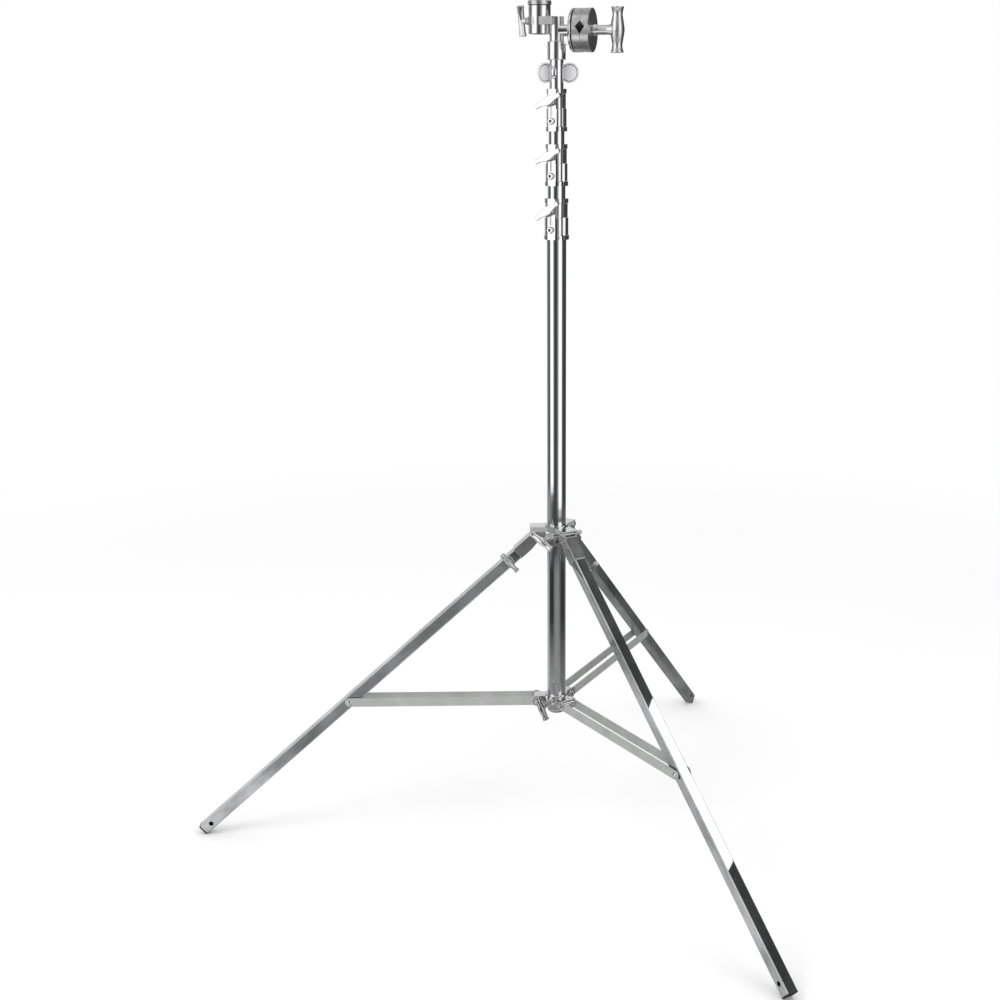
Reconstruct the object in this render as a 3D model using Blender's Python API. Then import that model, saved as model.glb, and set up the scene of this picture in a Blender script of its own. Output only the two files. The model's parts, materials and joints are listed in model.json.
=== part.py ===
"""Overhead stand: a three-legged steel stand with three telescoping risers and a grip head on top.

Metres, +Z up. The mast stands on the Z axis of the "stand" empty, which is moved at the end so that
the middle of the footprint is the origin and the feet rest on z = 0. The grip head's screw lies along +X.
"""

import math

import bmesh
import bpy
from mathutils import Matrix, Vector

# Driving dimensions

GAP = 0.0003

BASE_OD = 0.050
RISER_STEP = 0.005
TUBE_WALL = 0.002
RISER_COUNT = 3
MAST_BELOW_PIVOT = 0.038
PLUG_FLANGE = 0.006
PLUG_SPIGOT = 0.015
TUBE_SIDES = 24
DISC_SIDES = 32
SMALL_SIDES = 10

COLLAR_HEIGHT = 0.103
COLLAR_LOWEST = 1.648
COLLAR_SPACING = 0.134
COLLAR_WALL = 0.0052
COLLAR_STEP_DROP = 0.048
COLLAR_NECK = 0.00175
COLLAR_LIP = 0.011
COLLAR_LIP_PROUD = 0.0018
PAD_WIDTH = 0.021
PAD_PROUD = 0.0025
COLLAR_SCREW_HEIGHT = 0.025
COLLAR_CLAMP_HEIGHT = 0.074
COLLAR_CLAMP_REACH = 0.048
COLLAR_CLAMP_TILTS = (34.0, 24.4, 24.4)

LEG_YAW = 18.0
LEG_NAMES = ("left", "front", "back")
LEG_SPREAD = 48.0
LEG_SIZE = 0.030
LEG_WALL = 0.002
LEG_LINE_RADIUS = 0.058
LEG_LINE_HEIGHT = 0.873
PIN_RISE = 0.0056
HINGE_PIN_RADIUS = 0.004
LEG_TOP = 0.040
FOOT_CAP = 0.004
FOOT_SPIGOT = 0.018
FOOT_HOLE_RADIUS = 0.0065
FOOT_HOLE_SETBACK = 0.033
BRACKET_WALL = 0.0025
BRACKET_LENGTH = 0.076
BRACKET_RELIEF = 0.0065
LEG_BOLT_AT = 0.1066
LEG_BOLT_REACH = 0.030

BRACE_ON_LEG = 0.702
BRACE_HEIGHT = 0.025
BRACE_THICKNESS = 0.003
BRACE_OFFSET = 0.0195
BRACE_PIN_RADIUS = 0.004
LOWER_PIVOT_RADIUS = 0.055
LOWER_PIVOT_HEIGHT = 0.388
PIVOT_WASHER_RADIUS = 0.0145

CLAMP_AZIMUTH = 258.0
HUB_RADIUS = 0.031
HUB_CLAMP_REACH = 0.088
UPPER_HUB_BELOW_LINE = 0.039
UPPER_HUB_ABOVE_LINE = 0.014
HUB_FACET_AZIMUTH = 257.3
UPPER_HUB_CLAMP_RISE = 0.031
UPPER_CLAMP_TILT = -32.0
LOWER_HUB_HALF = 0.016
LOWER_CLAMP_TILT = -64.0
LUG_REACH = 0.071
LUG_WALL = 0.0025

COLLAR_HANDLE_HALF = 0.037
UPPER_HANDLE_HALF = 0.035
LOWER_HANDLE_HALF = 0.033
RECEIVER_HANDLE_HALF = 0.037
WING_RADII = (0.0066, 0.0060, 0.0092)
BAR_RADII = (0.0088, 0.0076, 0.0090)
SHANK_RADIUS = 0.005

HEAD_ABOVE_COLLAR = 0.0695
SLEEVE_RADIUS = 0.023
SLEEVE_HEIGHT = 0.0445
POST_RADIUS = 0.0175
RECEIVER_OFFSET = 0.0434
RECEIVER_RADIUS = 0.0275
RECEIVER_BORE = 0.0146
RECEIVER_ABOVE_SLEEVE = 0.017
RECEIVER_HEIGHT = 0.079
RECEIVER_LINER = 0.003
ARM_RISE = 0.0215
ARM_HEIGHT = 0.0195
RECEIVER_CLAMP_REACH = 0.0465
RECEIVER_CLAMP_TILT = 73.4

GRIP_ABOVE_SLEEVE = 0.025
GRIP_RADIUS = 0.0525
STUB_RADIUS = 0.0155
STUD_RADIUS = 0.008
BACK_PLATE_AT = 0.0405
BACK_PLATE_THICKNESS = 0.008
FRICTION_THICKNESS = 0.002
JAW_THICKNESS = 0.0205
GROOVE_HALF = 0.012
GROOVE_SLOPE = 48.0
GROOVE_EXIT = 0.0066
WASHER_THICKNESS = 0.0048
GRIP_HANDLE_HALF = 0.054
GRIP_SHANK = 0.043
GRIP_SHANK_RADIUS = 0.0132

EARS_ABOVE_COLLAR = 0.0385
EAR_RADIUS = 0.0245
EAR_THICKNESS = 0.003
EAR_RIM = 0.003
EAR_REACH = 0.034
EAR_SPLAY = 25.0
EAR_YAW = 25.9
EAR_APEX = 0.0232
EAR_SHIFT = 0.004
BUTTON_AZIMUTH = 263.0

# Values that follow from them

BASE_RADIUS = BASE_OD / 2
TUBE_RADII = [BASE_RADIUS - RISER_STEP / 2 * step for step in range(RISER_COUNT + 1)]
TOP_RADIUS = TUBE_RADII[RISER_COUNT]
MAST_BOTTOM = LOWER_PIVOT_HEIGHT - MAST_BELOW_PIVOT
LOWER_HUB_BOTTOM = LOWER_PIVOT_HEIGHT - LOWER_HUB_HALF
LOWER_HUB_TOP = LOWER_PIVOT_HEIGHT + LOWER_HUB_HALF
UPPER_HUB_BOTTOM = LEG_LINE_HEIGHT - UPPER_HUB_BELOW_LINE
UPPER_HUB_TOP = LEG_LINE_HEIGHT + UPPER_HUB_ABOVE_LINE
UPPER_HUB_CLAMP = UPPER_HUB_BOTTOM + UPPER_HUB_CLAMP_RISE
TOP_COLLAR_TOP = COLLAR_LOWEST + COLLAR_SPACING * (RISER_COUNT - 1) + COLLAR_HEIGHT
EAR_HEIGHT = TOP_COLLAR_TOP + EARS_ABOVE_COLLAR
HEAD_BOTTOM = TOP_COLLAR_TOP + HEAD_ABOVE_COLLAR
SLEEVE_TOP = HEAD_BOTTOM + SLEEVE_HEIGHT
RECEIVER_BOTTOM = SLEEVE_TOP + RECEIVER_ABOVE_SLEEVE
RECEIVER_TOP = RECEIVER_BOTTOM + RECEIVER_HEIGHT
ARM_BOTTOM = RECEIVER_BOTTOM + ARM_RISE
ARM_TOP = ARM_BOTTOM + ARM_HEIGHT
GRIP_HEIGHT = SLEEVE_TOP + GRIP_ABOVE_SLEEVE
SPREAD = math.radians(LEG_SPREAD)
HINGE_RADIUS = LEG_LINE_RADIUS + PIN_RISE * math.cos(SPREAD)
HINGE_HEIGHT = LEG_LINE_HEIGHT + PIN_RISE * math.sin(SPREAD)
LEG_DROP = PIN_RISE + LEG_SIZE / 2
LEG_BOTTOM = PIN_RISE + LEG_SIZE
LEG_END = (HINGE_HEIGHT - LEG_BOTTOM * math.sin(SPREAD)) / math.cos(SPREAD)
LEG_PIVOT_RADIUS = (
    HINGE_RADIUS + BRACE_ON_LEG * math.sin(SPREAD) - LEG_DROP * math.cos(SPREAD)
)
LEG_PIVOT_HEIGHT = (
    HINGE_HEIGHT - BRACE_ON_LEG * math.cos(SPREAD) - LEG_DROP * math.sin(SPREAD)
)
BRACE_RUN = LEG_PIVOT_RADIUS - LOWER_PIVOT_RADIUS
BRACE_RISE = LEG_PIVOT_HEIGHT - LOWER_PIVOT_HEIGHT
BRACE_LENGTH = math.hypot(BRACE_RUN, BRACE_RISE)
BRACE_INNER = BRACE_OFFSET - BRACE_THICKNESS / 2
BRACE_OUTER = BRACE_OFFSET + BRACE_THICKNESS / 2
BRACKET_INNER = LEG_SIZE / 2 + GAP
BRACKET_OUTER = BRACKET_INNER + BRACKET_WALL
LUG_INNER = BRACKET_OUTER + GAP
LUG_OUTER = LUG_INNER + LUG_WALL
FRICTION_AT = BACK_PLATE_AT + BACK_PLATE_THICKNESS + GAP
INNER_JAW_AT = FRICTION_AT + FRICTION_THICKNESS + GAP
OUTER_JAW_AT = INNER_JAW_AT + JAW_THICKNESS + GAP
WASHER_AT = OUTER_JAW_AT + JAW_THICKNESS + GAP
GRIP_SHANK_AT = WASHER_AT + WASHER_THICKNESS + GAP
GRIP_BAR_AT = GRIP_SHANK_AT + GRIP_SHANK + 0.0135
STUD_START = 0.019
STUD_END = GRIP_SHANK_AT + 0.034


# Materials


def material(name, colour, roughness, metallic=1.0):
    made = bpy.data.materials.new(name)
    made.use_nodes = True
    shader = made.node_tree.nodes["Principled BSDF"]
    shader.inputs["Base Color"].default_value = (*colour, 1.0)
    shader.inputs["Roughness"].default_value = roughness
    shader.inputs["Metallic"].default_value = metallic
    made.diffuse_color = (*colour, 1.0)
    return made


CHROME = (0.78, 0.79, 0.80)
NICKEL = (0.70, 0.70, 0.70)
ZINC = (0.52, 0.53, 0.53)
STEEL = (0.42, 0.42, 0.43)
NYLON = (0.86, 0.86, 0.84)
BLACK = (0.02, 0.02, 0.02)


# Mesh builders


def to_mesh(name, shape, smooth=True):
    bmesh.ops.recalc_face_normals(shape, faces=shape.faces)
    mesh = bpy.data.meshes.new(name)
    shape.to_mesh(mesh)
    shape.free()
    if smooth:
        mesh.shade_smooth()
        mesh.set_sharp_from_angle(angle=math.radians(35))
    return mesh


def turned(profile, sides, axis="Z", ring=False):
    """A solid of revolution. The profile is (radius, height) pairs from one end to the other, or round a ring."""
    shape = bmesh.new()
    rings = []
    for radius, height in profile:
        if radius == 0:
            rings.append([shape.verts.new((0, 0, height))])
            continue
        turn = [2 * math.pi * k / sides for k in range(sides)]
        rings.append(
            [shape.verts.new((radius * math.cos(a), radius * math.sin(a), height)) for a in turn]
        )
    pairs = list(zip(rings, rings[1:]))
    if ring:
        pairs.append((rings[-1], rings[0]))
    else:
        for end in (rings[0], rings[-1]):
            if len(end) > 1:
                shape.faces.new(end)
    for lower, upper in pairs:
        for k in range(sides):
            corners = [
                lower[k % len(lower)],
                lower[(k + 1) % len(lower)],
                upper[(k + 1) % len(upper)],
                upper[k % len(upper)],
            ]
            shape.faces.new(list(dict.fromkeys(corners)))
    turns = {"X": Matrix.Rotation(math.pi / 2, 4, "Y"), "Y": Matrix.Rotation(-math.pi / 2, 4, "X")}
    if axis in turns:
        bmesh.ops.transform(shape, matrix=turns[axis], verts=shape.verts)
    return to_mesh("turned", shape)


def rod(radius, low, high, sides=SMALL_SIDES, axis="Z"):
    return turned([(radius, low), (radius, high)], sides, axis)


def pipe(outer, inner, low, high, sides=TUBE_SIDES, axis="Z"):
    outline = [(inner, low), (outer, low), (outer, high), (inner, high)]
    return turned(outline, sides, axis, ring=True)


def block(low, high, bevel=0.0):
    shape = bmesh.new()
    size = Vector(high) - Vector(low)
    place = Matrix.Translation((Vector(high) + Vector(low)) / 2) @ Matrix.Diagonal((*size, 1))
    bmesh.ops.create_cube(shape, size=1, matrix=place)
    if bevel:
        bmesh.ops.bevel(
            shape, geom=shape.edges[:], offset=bevel, segments=1, affect="EDGES", profile=0.5, material=-1
        )
    return to_mesh("block", shape, smooth=False)


def plate(outline, low, high):
    """An outline of (x, z) points given thickness along Y."""
    shape = bmesh.new()
    face = shape.faces.new([shape.verts.new((x, low, z)) for x, z in outline])
    grown = bmesh.ops.extrude_face_region(shape, geom=[face])
    moved = [item for item in grown["geom"] if isinstance(item, bmesh.types.BMVert)]
    bmesh.ops.translate(shape, verts=moved, vec=(0, high - low, 0))
    return to_mesh("plate", shape)


def arc(x, z, radius, start, end, steps):
    angles = [math.radians(start + (end - start) * k / steps) for k in range(steps + 1)]
    return [(x + radius * math.cos(a), z + radius * math.sin(a)) for a in angles]


def capsule(x_low, x_high, radius, z=0.0, steps=5):
    return arc(x_high, z, radius, -90, 90, steps) + arc(x_low, z, radius, 90, 270, steps)


# Objects


def frame(name, parent, at=(0, 0, 0), turn=(0, 0, 0)):
    empty = bpy.data.objects.new(name, None)
    empty.empty_display_size = 0.03
    bpy.context.scene.collection.objects.link(empty)
    empty.parent = parent
    empty.location = at
    empty.rotation_euler = [math.radians(a) for a in turn]
    return empty


def around(azimuth, radius, height):
    angle = math.radians(azimuth)
    return (radius * math.cos(angle), radius * math.sin(angle), height)


def leg_azimuth(number):
    return LEG_YAW + 180 + 120 * number


def pivot_frame(name, number, parent, radius, height, pitch=0.0):
    """The frame of a pivot in line with a leg: Y lies along the pivot and X points away from the mast."""
    azimuth = leg_azimuth(number)
    return frame(name + "_axis", parent, around(azimuth, radius, height), (0, pitch, azimuth))


def piece(name, mesh, parent, colour, roughness, metallic=1.0, at=(0, 0, 0)):
    made = bpy.data.objects.new(name, mesh)
    mesh.name = name
    bpy.context.scene.collection.objects.link(made)
    made.parent = parent
    made.location = at
    mesh.materials.clear()
    mesh.materials.append(material(name, colour, roughness, metallic))
    return made


def shaped(made, mesh, operation, at=(0, 0, 0), turn=(0, 0, 0)):
    """Joins a helper shape to a piece, or cuts it out, with the helper in the same frame as the piece."""
    helper = bpy.data.objects.new(made.name + "_helper", mesh)
    bpy.context.scene.collection.objects.link(helper)
    helper.parent = made.parent
    helper.location = at
    helper.rotation_euler = [math.radians(a) for a in turn]
    helper.hide_render = True
    helper.display_type = "WIRE"
    boolean = made.modifiers.new(operation.lower(), "BOOLEAN")
    boolean.operation = operation
    boolean.object = helper
    boolean.solver = "EXACT"


def join(made, mesh, at=(0, 0, 0), turn=(0, 0, 0)):
    shaped(made, mesh, "UNION", at, turn)


def cut(made, mesh, at=(0, 0, 0), turn=(0, 0, 0)):
    shaped(made, mesh, "DIFFERENCE", at, turn)


# The T-shaped clamp handles: the screw lies along X, the bar across it


def clamp_handle(name, parent, reach, tip, azimuth, height, tilt, half, radii):
    """A bar at the reach from the mast's axis, and a screw from it to the tip. The radii are the bar's, end to middle."""
    axis = frame(name + "_axis", parent, around(azimuth, reach, height), (tilt, 0, azimuth))
    end, waist, middle = radii
    profile = [
        (end - 0.0012, -half),
        (end, -half + 0.0015),
        (waist, -half * 0.66),
        (middle, -half * 0.2),
    ]
    profile += [(radius, -along) for radius, along in reversed(profile)]
    bar = piece(name, turned(profile, 12, "Y"), axis, NICKEL, 0.18)
    join(bar, rod(SHANK_RADIUS, tip - reach, 0.002, SMALL_SIDES, "X"))
    join(bar, turned([(0.0075, -0.0115), (0.0062, -0.003)], SMALL_SIDES, "X"))
    return axis


# Mast


def base_tube(parent):
    top = COLLAR_LOWEST + COLLAR_HEIGHT - COLLAR_STEP_DROP - 0.002
    mesh = pipe(BASE_RADIUS, BASE_RADIUS - TUBE_WALL, MAST_BOTTOM + PLUG_FLANGE + GAP, top)
    return piece("base_tube", mesh, parent, CHROME, 0.08)


def bottom_plug(name, parent, outer, inner, low, colour, roughness=0.5, metallic=0.0):
    """A flange that slides in the tube around it, with a spigot up into the tube that stands on it."""
    outline = [
        (0.006, low),
        (outer - 0.002, low),
        (outer, low + 0.002),
        (outer, low + PLUG_FLANGE),
        (inner, low + PLUG_FLANGE),
        (inner, low + PLUG_FLANGE + PLUG_SPIGOT),
        (0.006, low + PLUG_FLANGE + PLUG_SPIGOT),
    ]
    return piece(name, turned(outline, TUBE_SIDES, ring=True), parent, colour, roughness, metallic)


def collar(number, parent):
    """A clamp collar: it holds the tube below and grips the riser that slides in it."""
    low = COLLAR_LOWEST + COLLAR_SPACING * (number - 1)
    top = low + COLLAR_HEIGHT
    step = top - COLLAR_STEP_DROP
    held = TUBE_RADII[number - 1]
    gripped = TUBE_RADII[number]
    body = held + COLLAR_WALL
    neck = body - COLLAR_NECK
    outline = [
        (body + COLLAR_LIP_PROUD, low),
        (body + COLLAR_LIP_PROUD, low + COLLAR_LIP),
        (body, low + COLLAR_LIP + 0.001),
        (body, step),
        (neck, step + 0.0015),
        (neck, top - COLLAR_LIP),
        (neck + COLLAR_LIP_PROUD, top - COLLAR_LIP + 0.001),
        (neck + COLLAR_LIP_PROUD, top),
    ]
    made = piece(f"collar_{number}", turned(outline, TUBE_SIDES), parent, NICKEL, 0.2)
    azimuth = CLAMP_AZIMUTH
    face = body + PAD_PROUD
    half = PAD_WIDTH / 2
    pad = block((0.012, -half, low + 0.003), (face, half, top - COLLAR_LIP - 0.002))
    join(made, pad, turn=(0, 0, azimuth))
    for height, radius in ((COLLAR_SCREW_HEIGHT, 0.0088), (COLLAR_CLAMP_HEIGHT, 0.0085)):
        boss = turned([(radius, 0.012), (radius, face + 0.002), (radius - 0.001, face + 0.003)], 12, "X")
        join(made, boss, at=(0, 0, low + height), turn=(0, 0, azimuth))
    bore = [
        (held + GAP, low - 0.001),
        (held + GAP, step),
        (gripped + GAP, step),
        (gripped + GAP, top + 0.001),
    ]
    cut(made, turned(bore, TUBE_SIDES))
    for height, radius in ((COLLAR_SCREW_HEIGHT, 0.0043), (COLLAR_CLAMP_HEIGHT, SHANK_RADIUS + GAP)):
        cut(made, rod(radius, 0.012, 0.06, SMALL_SIDES, "X"), at=(0, 0, low + height), turn=(0, 0, azimuth))
    screw_outline = [
        (0.0, held + 2 * GAP),
        (0.004, held + 2 * GAP),
        (0.004, face + 0.003 + GAP),
        (0.007, face + 0.003 + GAP),
        (0.007, face + 0.0055),
        (0.0055, face + 0.0065),
        (0.0030, face + 0.0065),
        (0.0030, face + 0.0045),
        (0.0, face + 0.0045),
    ]
    angle = frame(f"collar_screw_{number}_axis", parent, (0, 0, low + COLLAR_SCREW_HEIGHT), (0, 0, azimuth))
    piece(f"collar_screw_{number}", turned(screw_outline, SMALL_SIDES, "X"), angle, NICKEL, 0.25)
    clamp_handle(
        f"collar_handle_{number}",
        parent,
        COLLAR_CLAMP_REACH + RISER_STEP / 2 * (RISER_COUNT - number),
        gripped + 2 * GAP,
        azimuth,
        low + COLLAR_CLAMP_HEIGHT,
        COLLAR_CLAMP_TILTS[number - 1],
        COLLAR_HANDLE_HALF,
        WING_RADII,
    )


def riser(number, parent):
    """A tube that slides in the one below, standing on its bottom plug."""
    outer = TUBE_RADII[number]
    inner = outer - TUBE_WALL
    below = TUBE_RADII[number - 1] - TUBE_WALL
    rest = MAST_BOTTOM + (PLUG_FLANGE + PLUG_SPIGOT + GAP) * number
    axis = frame(f"riser_{number}_axis", parent, (0, 0, 0))
    bottom_plug(f"riser_plug_{number}", axis, below - GAP, inner - GAP, rest, NYLON)
    if number < RISER_COUNT:
        top = COLLAR_LOWEST + COLLAR_SPACING * number + COLLAR_HEIGHT - COLLAR_STEP_DROP - 0.002
    else:
        top = SLEEVE_TOP - 0.004
    mesh = pipe(outer, inner, rest + PLUG_FLANGE + GAP, top)
    tube = piece(f"riser_{number}", mesh, axis, CHROME, 0.07)
    return axis, tube


# Legs


def leg(name, number, parent):
    """A square tube. Its frame has the origin on the hinge pin, X down the leg and Z out of the upper face."""
    axis = pivot_frame(f"leg_{name}", number, parent, HINGE_RADIUS, HINGE_HEIGHT, 90 - LEG_SPREAD)
    half = LEG_SIZE / 2
    end = LEG_END - FOOT_CAP - GAP
    outer = block((LEG_TOP, -half, -LEG_BOTTOM), (end, half, -PIN_RISE))
    tube = piece(f"leg_{name}", outer, axis, CHROME, 0.12)
    wall = LEG_WALL
    hollow = block(
        (LEG_TOP - 0.01, wall - half, wall - LEG_BOTTOM), (end + 0.01, half - wall, -wall - PIN_RISE)
    )
    cut(tube, hollow)
    foot_hole = LEG_END - FOOT_HOLE_SETBACK
    for along, radius in ((BRACE_ON_LEG, BRACE_PIN_RADIUS + GAP), (foot_hole, FOOT_HOLE_RADIUS)):
        cut(tube, rod(radius, -0.03, 0.03, SMALL_SIDES, "Y"), at=(along, 0, -LEG_DROP))
    cut(tube, rod(SHANK_RADIUS + GAP, 0.005, 0.03, SMALL_SIDES, "Y"), at=(LEG_BOLT_AT, 0, -LEG_DROP))
    leg_bracket(name, axis)
    foot_plug(name, axis)
    pivot = rod(BRACE_PIN_RADIUS, GAP - BRACE_INNER, BRACE_INNER - GAP, SMALL_SIDES, "Y")
    sleeve = piece(f"leg_pivot_{name}", pivot, axis, ZINC, 0.3, at=(BRACE_ON_LEG, 0, -LEG_DROP))
    for side in (-1, 1):
        spacer = sorted((side * (half + GAP), side * (BRACE_INNER - GAP)))
        join(sleeve, rod(0.0085, spacer[0], spacer[1], 12, "Y"), at=(BRACE_ON_LEG, 0, -LEG_DROP))
    leg_bolt(name, axis)
    return axis


def leg_bracket(name, axis):
    """A folded channel over the leg's head, with two ears that reach the hinge pin."""
    under = GAP - PIN_RISE
    over = under + BRACKET_WALL
    ear = 0.0068
    outline = arc(0, 0, ear, 180, 20, 6)
    outline += [(0.012, over), (BRACKET_LENGTH, over), (BRACKET_LENGTH, -LEG_BOTTOM)]
    outline += [(LEG_TOP, -LEG_BOTTOM), (0, -LEG_BOTTOM + BRACKET_RELIEF), (-ear, -0.016)]
    made = piece(
        f"leg_bracket_{name}", plate(outline, -BRACKET_OUTER, BRACKET_OUTER), axis, ZINC, 0.35
    )
    inside = BRACKET_INNER
    cut(made, block((-0.02, -inside, -0.05), (0.1, inside, under)))
    cut(made, block((-0.021, -inside, -0.01), (0.0105, inside, 0.02)))
    cut(made, rod(HINGE_PIN_RADIUS + GAP, -0.03, 0.03, SMALL_SIDES, "Y"))


def foot_plug(name, axis):
    half = LEG_SIZE / 2
    made = piece(
        f"foot_plug_{name}",
        block((LEG_END - FOOT_CAP, -half, -LEG_BOTTOM), (LEG_END, half, -PIN_RISE)),
        axis,
        BLACK,
        0.55,
        0.0,
    )
    inside = half - LEG_WALL - GAP
    start = LEG_END - FOOT_CAP - FOOT_SPIGOT
    join(made, block((start, -inside, -LEG_DROP - inside), (LEG_END - 0.002, inside, -LEG_DROP + inside)))


def leg_bolt(name, axis):
    """The small T-handled bolt across the leg's side, just below its bracket."""
    across = frame(
        f"leg_bolt_{name}_axis", axis, (LEG_BOLT_AT, LEG_BOLT_REACH, -LEG_DROP), (0, 0, 90)
    )
    half = 0.031
    profile = [
        (0.0062, -half),
        (0.0060, -half + 0.004),
        (0.0046, -half * 0.7),
        (0.0068, -half * 0.2),
    ]
    profile += [(radius, -along) for radius, along in reversed(profile)]
    bar = piece(f"leg_bolt_{name}", turned(profile, SMALL_SIDES), across, NICKEL, 0.22)
    join(bar, rod(SHANK_RADIUS, -0.022, 0.001, SMALL_SIDES, "X"))


# Hubs and braces


def hinge_pin(name, number, parent):
    """The pin through a lug of the upper hub and the ears of a leg's bracket, with a round head at one end."""
    outline = [
        (0, -LUG_OUTER - 0.004),
        (0.0065, -LUG_OUTER - 0.004),
        (0.0065, -LUG_OUTER - GAP),
        (HINGE_PIN_RADIUS, -LUG_OUTER - GAP),
        (HINGE_PIN_RADIUS, LUG_OUTER + 0.010),
        (0.0064, LUG_OUTER + 0.011),
        (0.0064, LUG_OUTER + 0.016),
        (0.0045, LUG_OUTER + 0.0175),
        (0, LUG_OUTER + 0.0175),
    ]
    axis = pivot_frame(f"hinge_pin_{name}", number, parent, HINGE_RADIUS, HINGE_HEIGHT)
    piece(f"hinge_pin_{name}", turned(outline, SMALL_SIDES, "Y"), axis, CHROME, 0.15)


def upper_hub(parent):
    """A clamp ring that slides on the base tube, with three forked lugs for the legs."""
    low = UPPER_HUB_BOTTOM
    radius = HUB_RADIUS
    body = turned([(radius - 0.0015, low), (radius, low + 0.0015), (radius, UPPER_HUB_TOP - 0.006)], 8)
    body.transform(Matrix.Rotation(math.radians(HUB_FACET_AZIMUTH), 4, "Z"))
    hub = piece("upper_hub", body, parent, ZINC, 0.35)
    ring = [(radius, UPPER_HUB_TOP - 0.010), (radius, UPPER_HUB_TOP + 0.0025), (radius - 0.001, UPPER_HUB_TOP + 0.0035)]
    join(hub, turned(ring, TUBE_SIDES))
    for number in range(3):
        fork = [
            (0.020, low + 0.006),
            (0.050, low + 0.016),
            (LUG_REACH, UPPER_HUB_TOP - 0.019),
            (LUG_REACH, UPPER_HUB_TOP),
            (0.020, UPPER_HUB_TOP),
        ]
        join(hub, plate(fork, -LUG_OUTER, LUG_OUTER), turn=(0, 0, leg_azimuth(number)))
    for number in range(3):
        azimuth = leg_azimuth(number)
        slot = block((radius + 0.0006, -LUG_INNER, low - 0.01), (0.1, LUG_INNER, UPPER_HUB_TOP - LUG_WALL))
        cut(hub, slot, turn=(0, 0, azimuth))
        pin_hole = rod(HINGE_PIN_RADIUS + GAP, -0.04, 0.04, SMALL_SIDES, "Y")
        cut(hub, pin_hole, at=around(azimuth, HINGE_RADIUS, HINGE_HEIGHT), turn=(0, 0, azimuth))
    boss = turned([(0.0095, 0.020), (0.0095, 0.042), (0.0085, 0.043)], 12, "X")
    join(hub, boss, at=(0, 0, UPPER_HUB_CLAMP), turn=(0, 0, CLAMP_AZIMUTH))
    cut(hub, rod(BASE_RADIUS + GAP, low - 0.01, UPPER_HUB_TOP + 0.01, TUBE_SIDES))
    cut(
        hub,
        rod(SHANK_RADIUS + GAP, 0.015, 0.06, SMALL_SIDES, "X"),
        at=(0, 0, UPPER_HUB_CLAMP),
        turn=(0, 0, CLAMP_AZIMUTH),
    )
    for number, name in enumerate(LEG_NAMES):
        hinge_pin(name, number, parent)
    clamp_handle(
        "upper_hub_handle",
        parent,
        HUB_CLAMP_REACH,
        BASE_RADIUS + 2 * GAP,
        CLAMP_AZIMUTH,
        UPPER_HUB_CLAMP,
        UPPER_CLAMP_TILT,
        UPPER_HANDLE_HALF,
        BAR_RADII,
    )


def lower_hub(parent):
    """A clamp ring near the foot of the base tube, with a lug between the bars of each brace."""
    low = LOWER_HUB_BOTTOM
    radius = HUB_RADIUS
    outline = [
        (radius - 0.0015, low),
        (radius, low + 0.0015),
        (radius, LOWER_HUB_TOP - 0.002),
        (radius - 0.002, LOWER_HUB_TOP),
    ]
    hub = piece("lower_hub", turned(outline, TUBE_SIDES), parent, NICKEL, 0.25)
    half = BRACE_INNER - 2 * GAP
    reach = LOWER_PIVOT_RADIUS
    height = LOWER_PIVOT_HEIGHT
    for number in range(3):
        lug = capsule(0.02, reach, 0.0125, height)
        join(hub, plate(lug, -half, half), turn=(0, 0, leg_azimuth(number)))
    boss = turned([(0.0095, 0.020), (0.0095, 0.044), (0.0085, 0.045)], 12, "X")
    join(hub, boss, at=(0, 0, height), turn=(0, 0, CLAMP_AZIMUTH))
    cut(hub, rod(BASE_RADIUS + GAP, low - 0.01, LOWER_HUB_TOP + 0.01, TUBE_SIDES))
    cut(
        hub,
        rod(SHANK_RADIUS + GAP, 0.015, 0.06, SMALL_SIDES, "X"),
        at=(0, 0, height),
        turn=(0, 0, CLAMP_AZIMUTH),
    )
    outline = [(0, -0.029), (0.0068, -0.029), (0.0068, -BRACE_OUTER - 0.002)]
    outline += [(PIVOT_WASHER_RADIUS, -BRACE_OUTER - 0.002), (PIVOT_WASHER_RADIUS, -BRACE_OUTER - GAP)]
    outline += [(BRACE_PIN_RADIUS, -BRACE_OUTER - GAP)]
    outline += [(radius, -along) for radius, along in reversed(outline)]
    for number, name in enumerate(LEG_NAMES):
        at = around(leg_azimuth(number), reach, height)
        hole = rod(BRACE_PIN_RADIUS + GAP, -0.03, 0.03, SMALL_SIDES, "Y")
        cut(hub, hole, at=at, turn=(0, 0, leg_azimuth(number)))
        axis = pivot_frame(f"brace_bolt_{name}", number, parent, reach, height)
        piece(f"brace_bolt_{name}", turned(outline, SMALL_SIDES, "Y"), axis, NICKEL, 0.25)
    clamp_handle(
        "lower_hub_handle",
        parent,
        HUB_CLAMP_REACH,
        BASE_RADIUS + 2 * GAP,
        CLAMP_AZIMUTH,
        height,
        LOWER_CLAMP_TILT,
        LOWER_HANDLE_HALF,
        BAR_RADII,
    )


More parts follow.
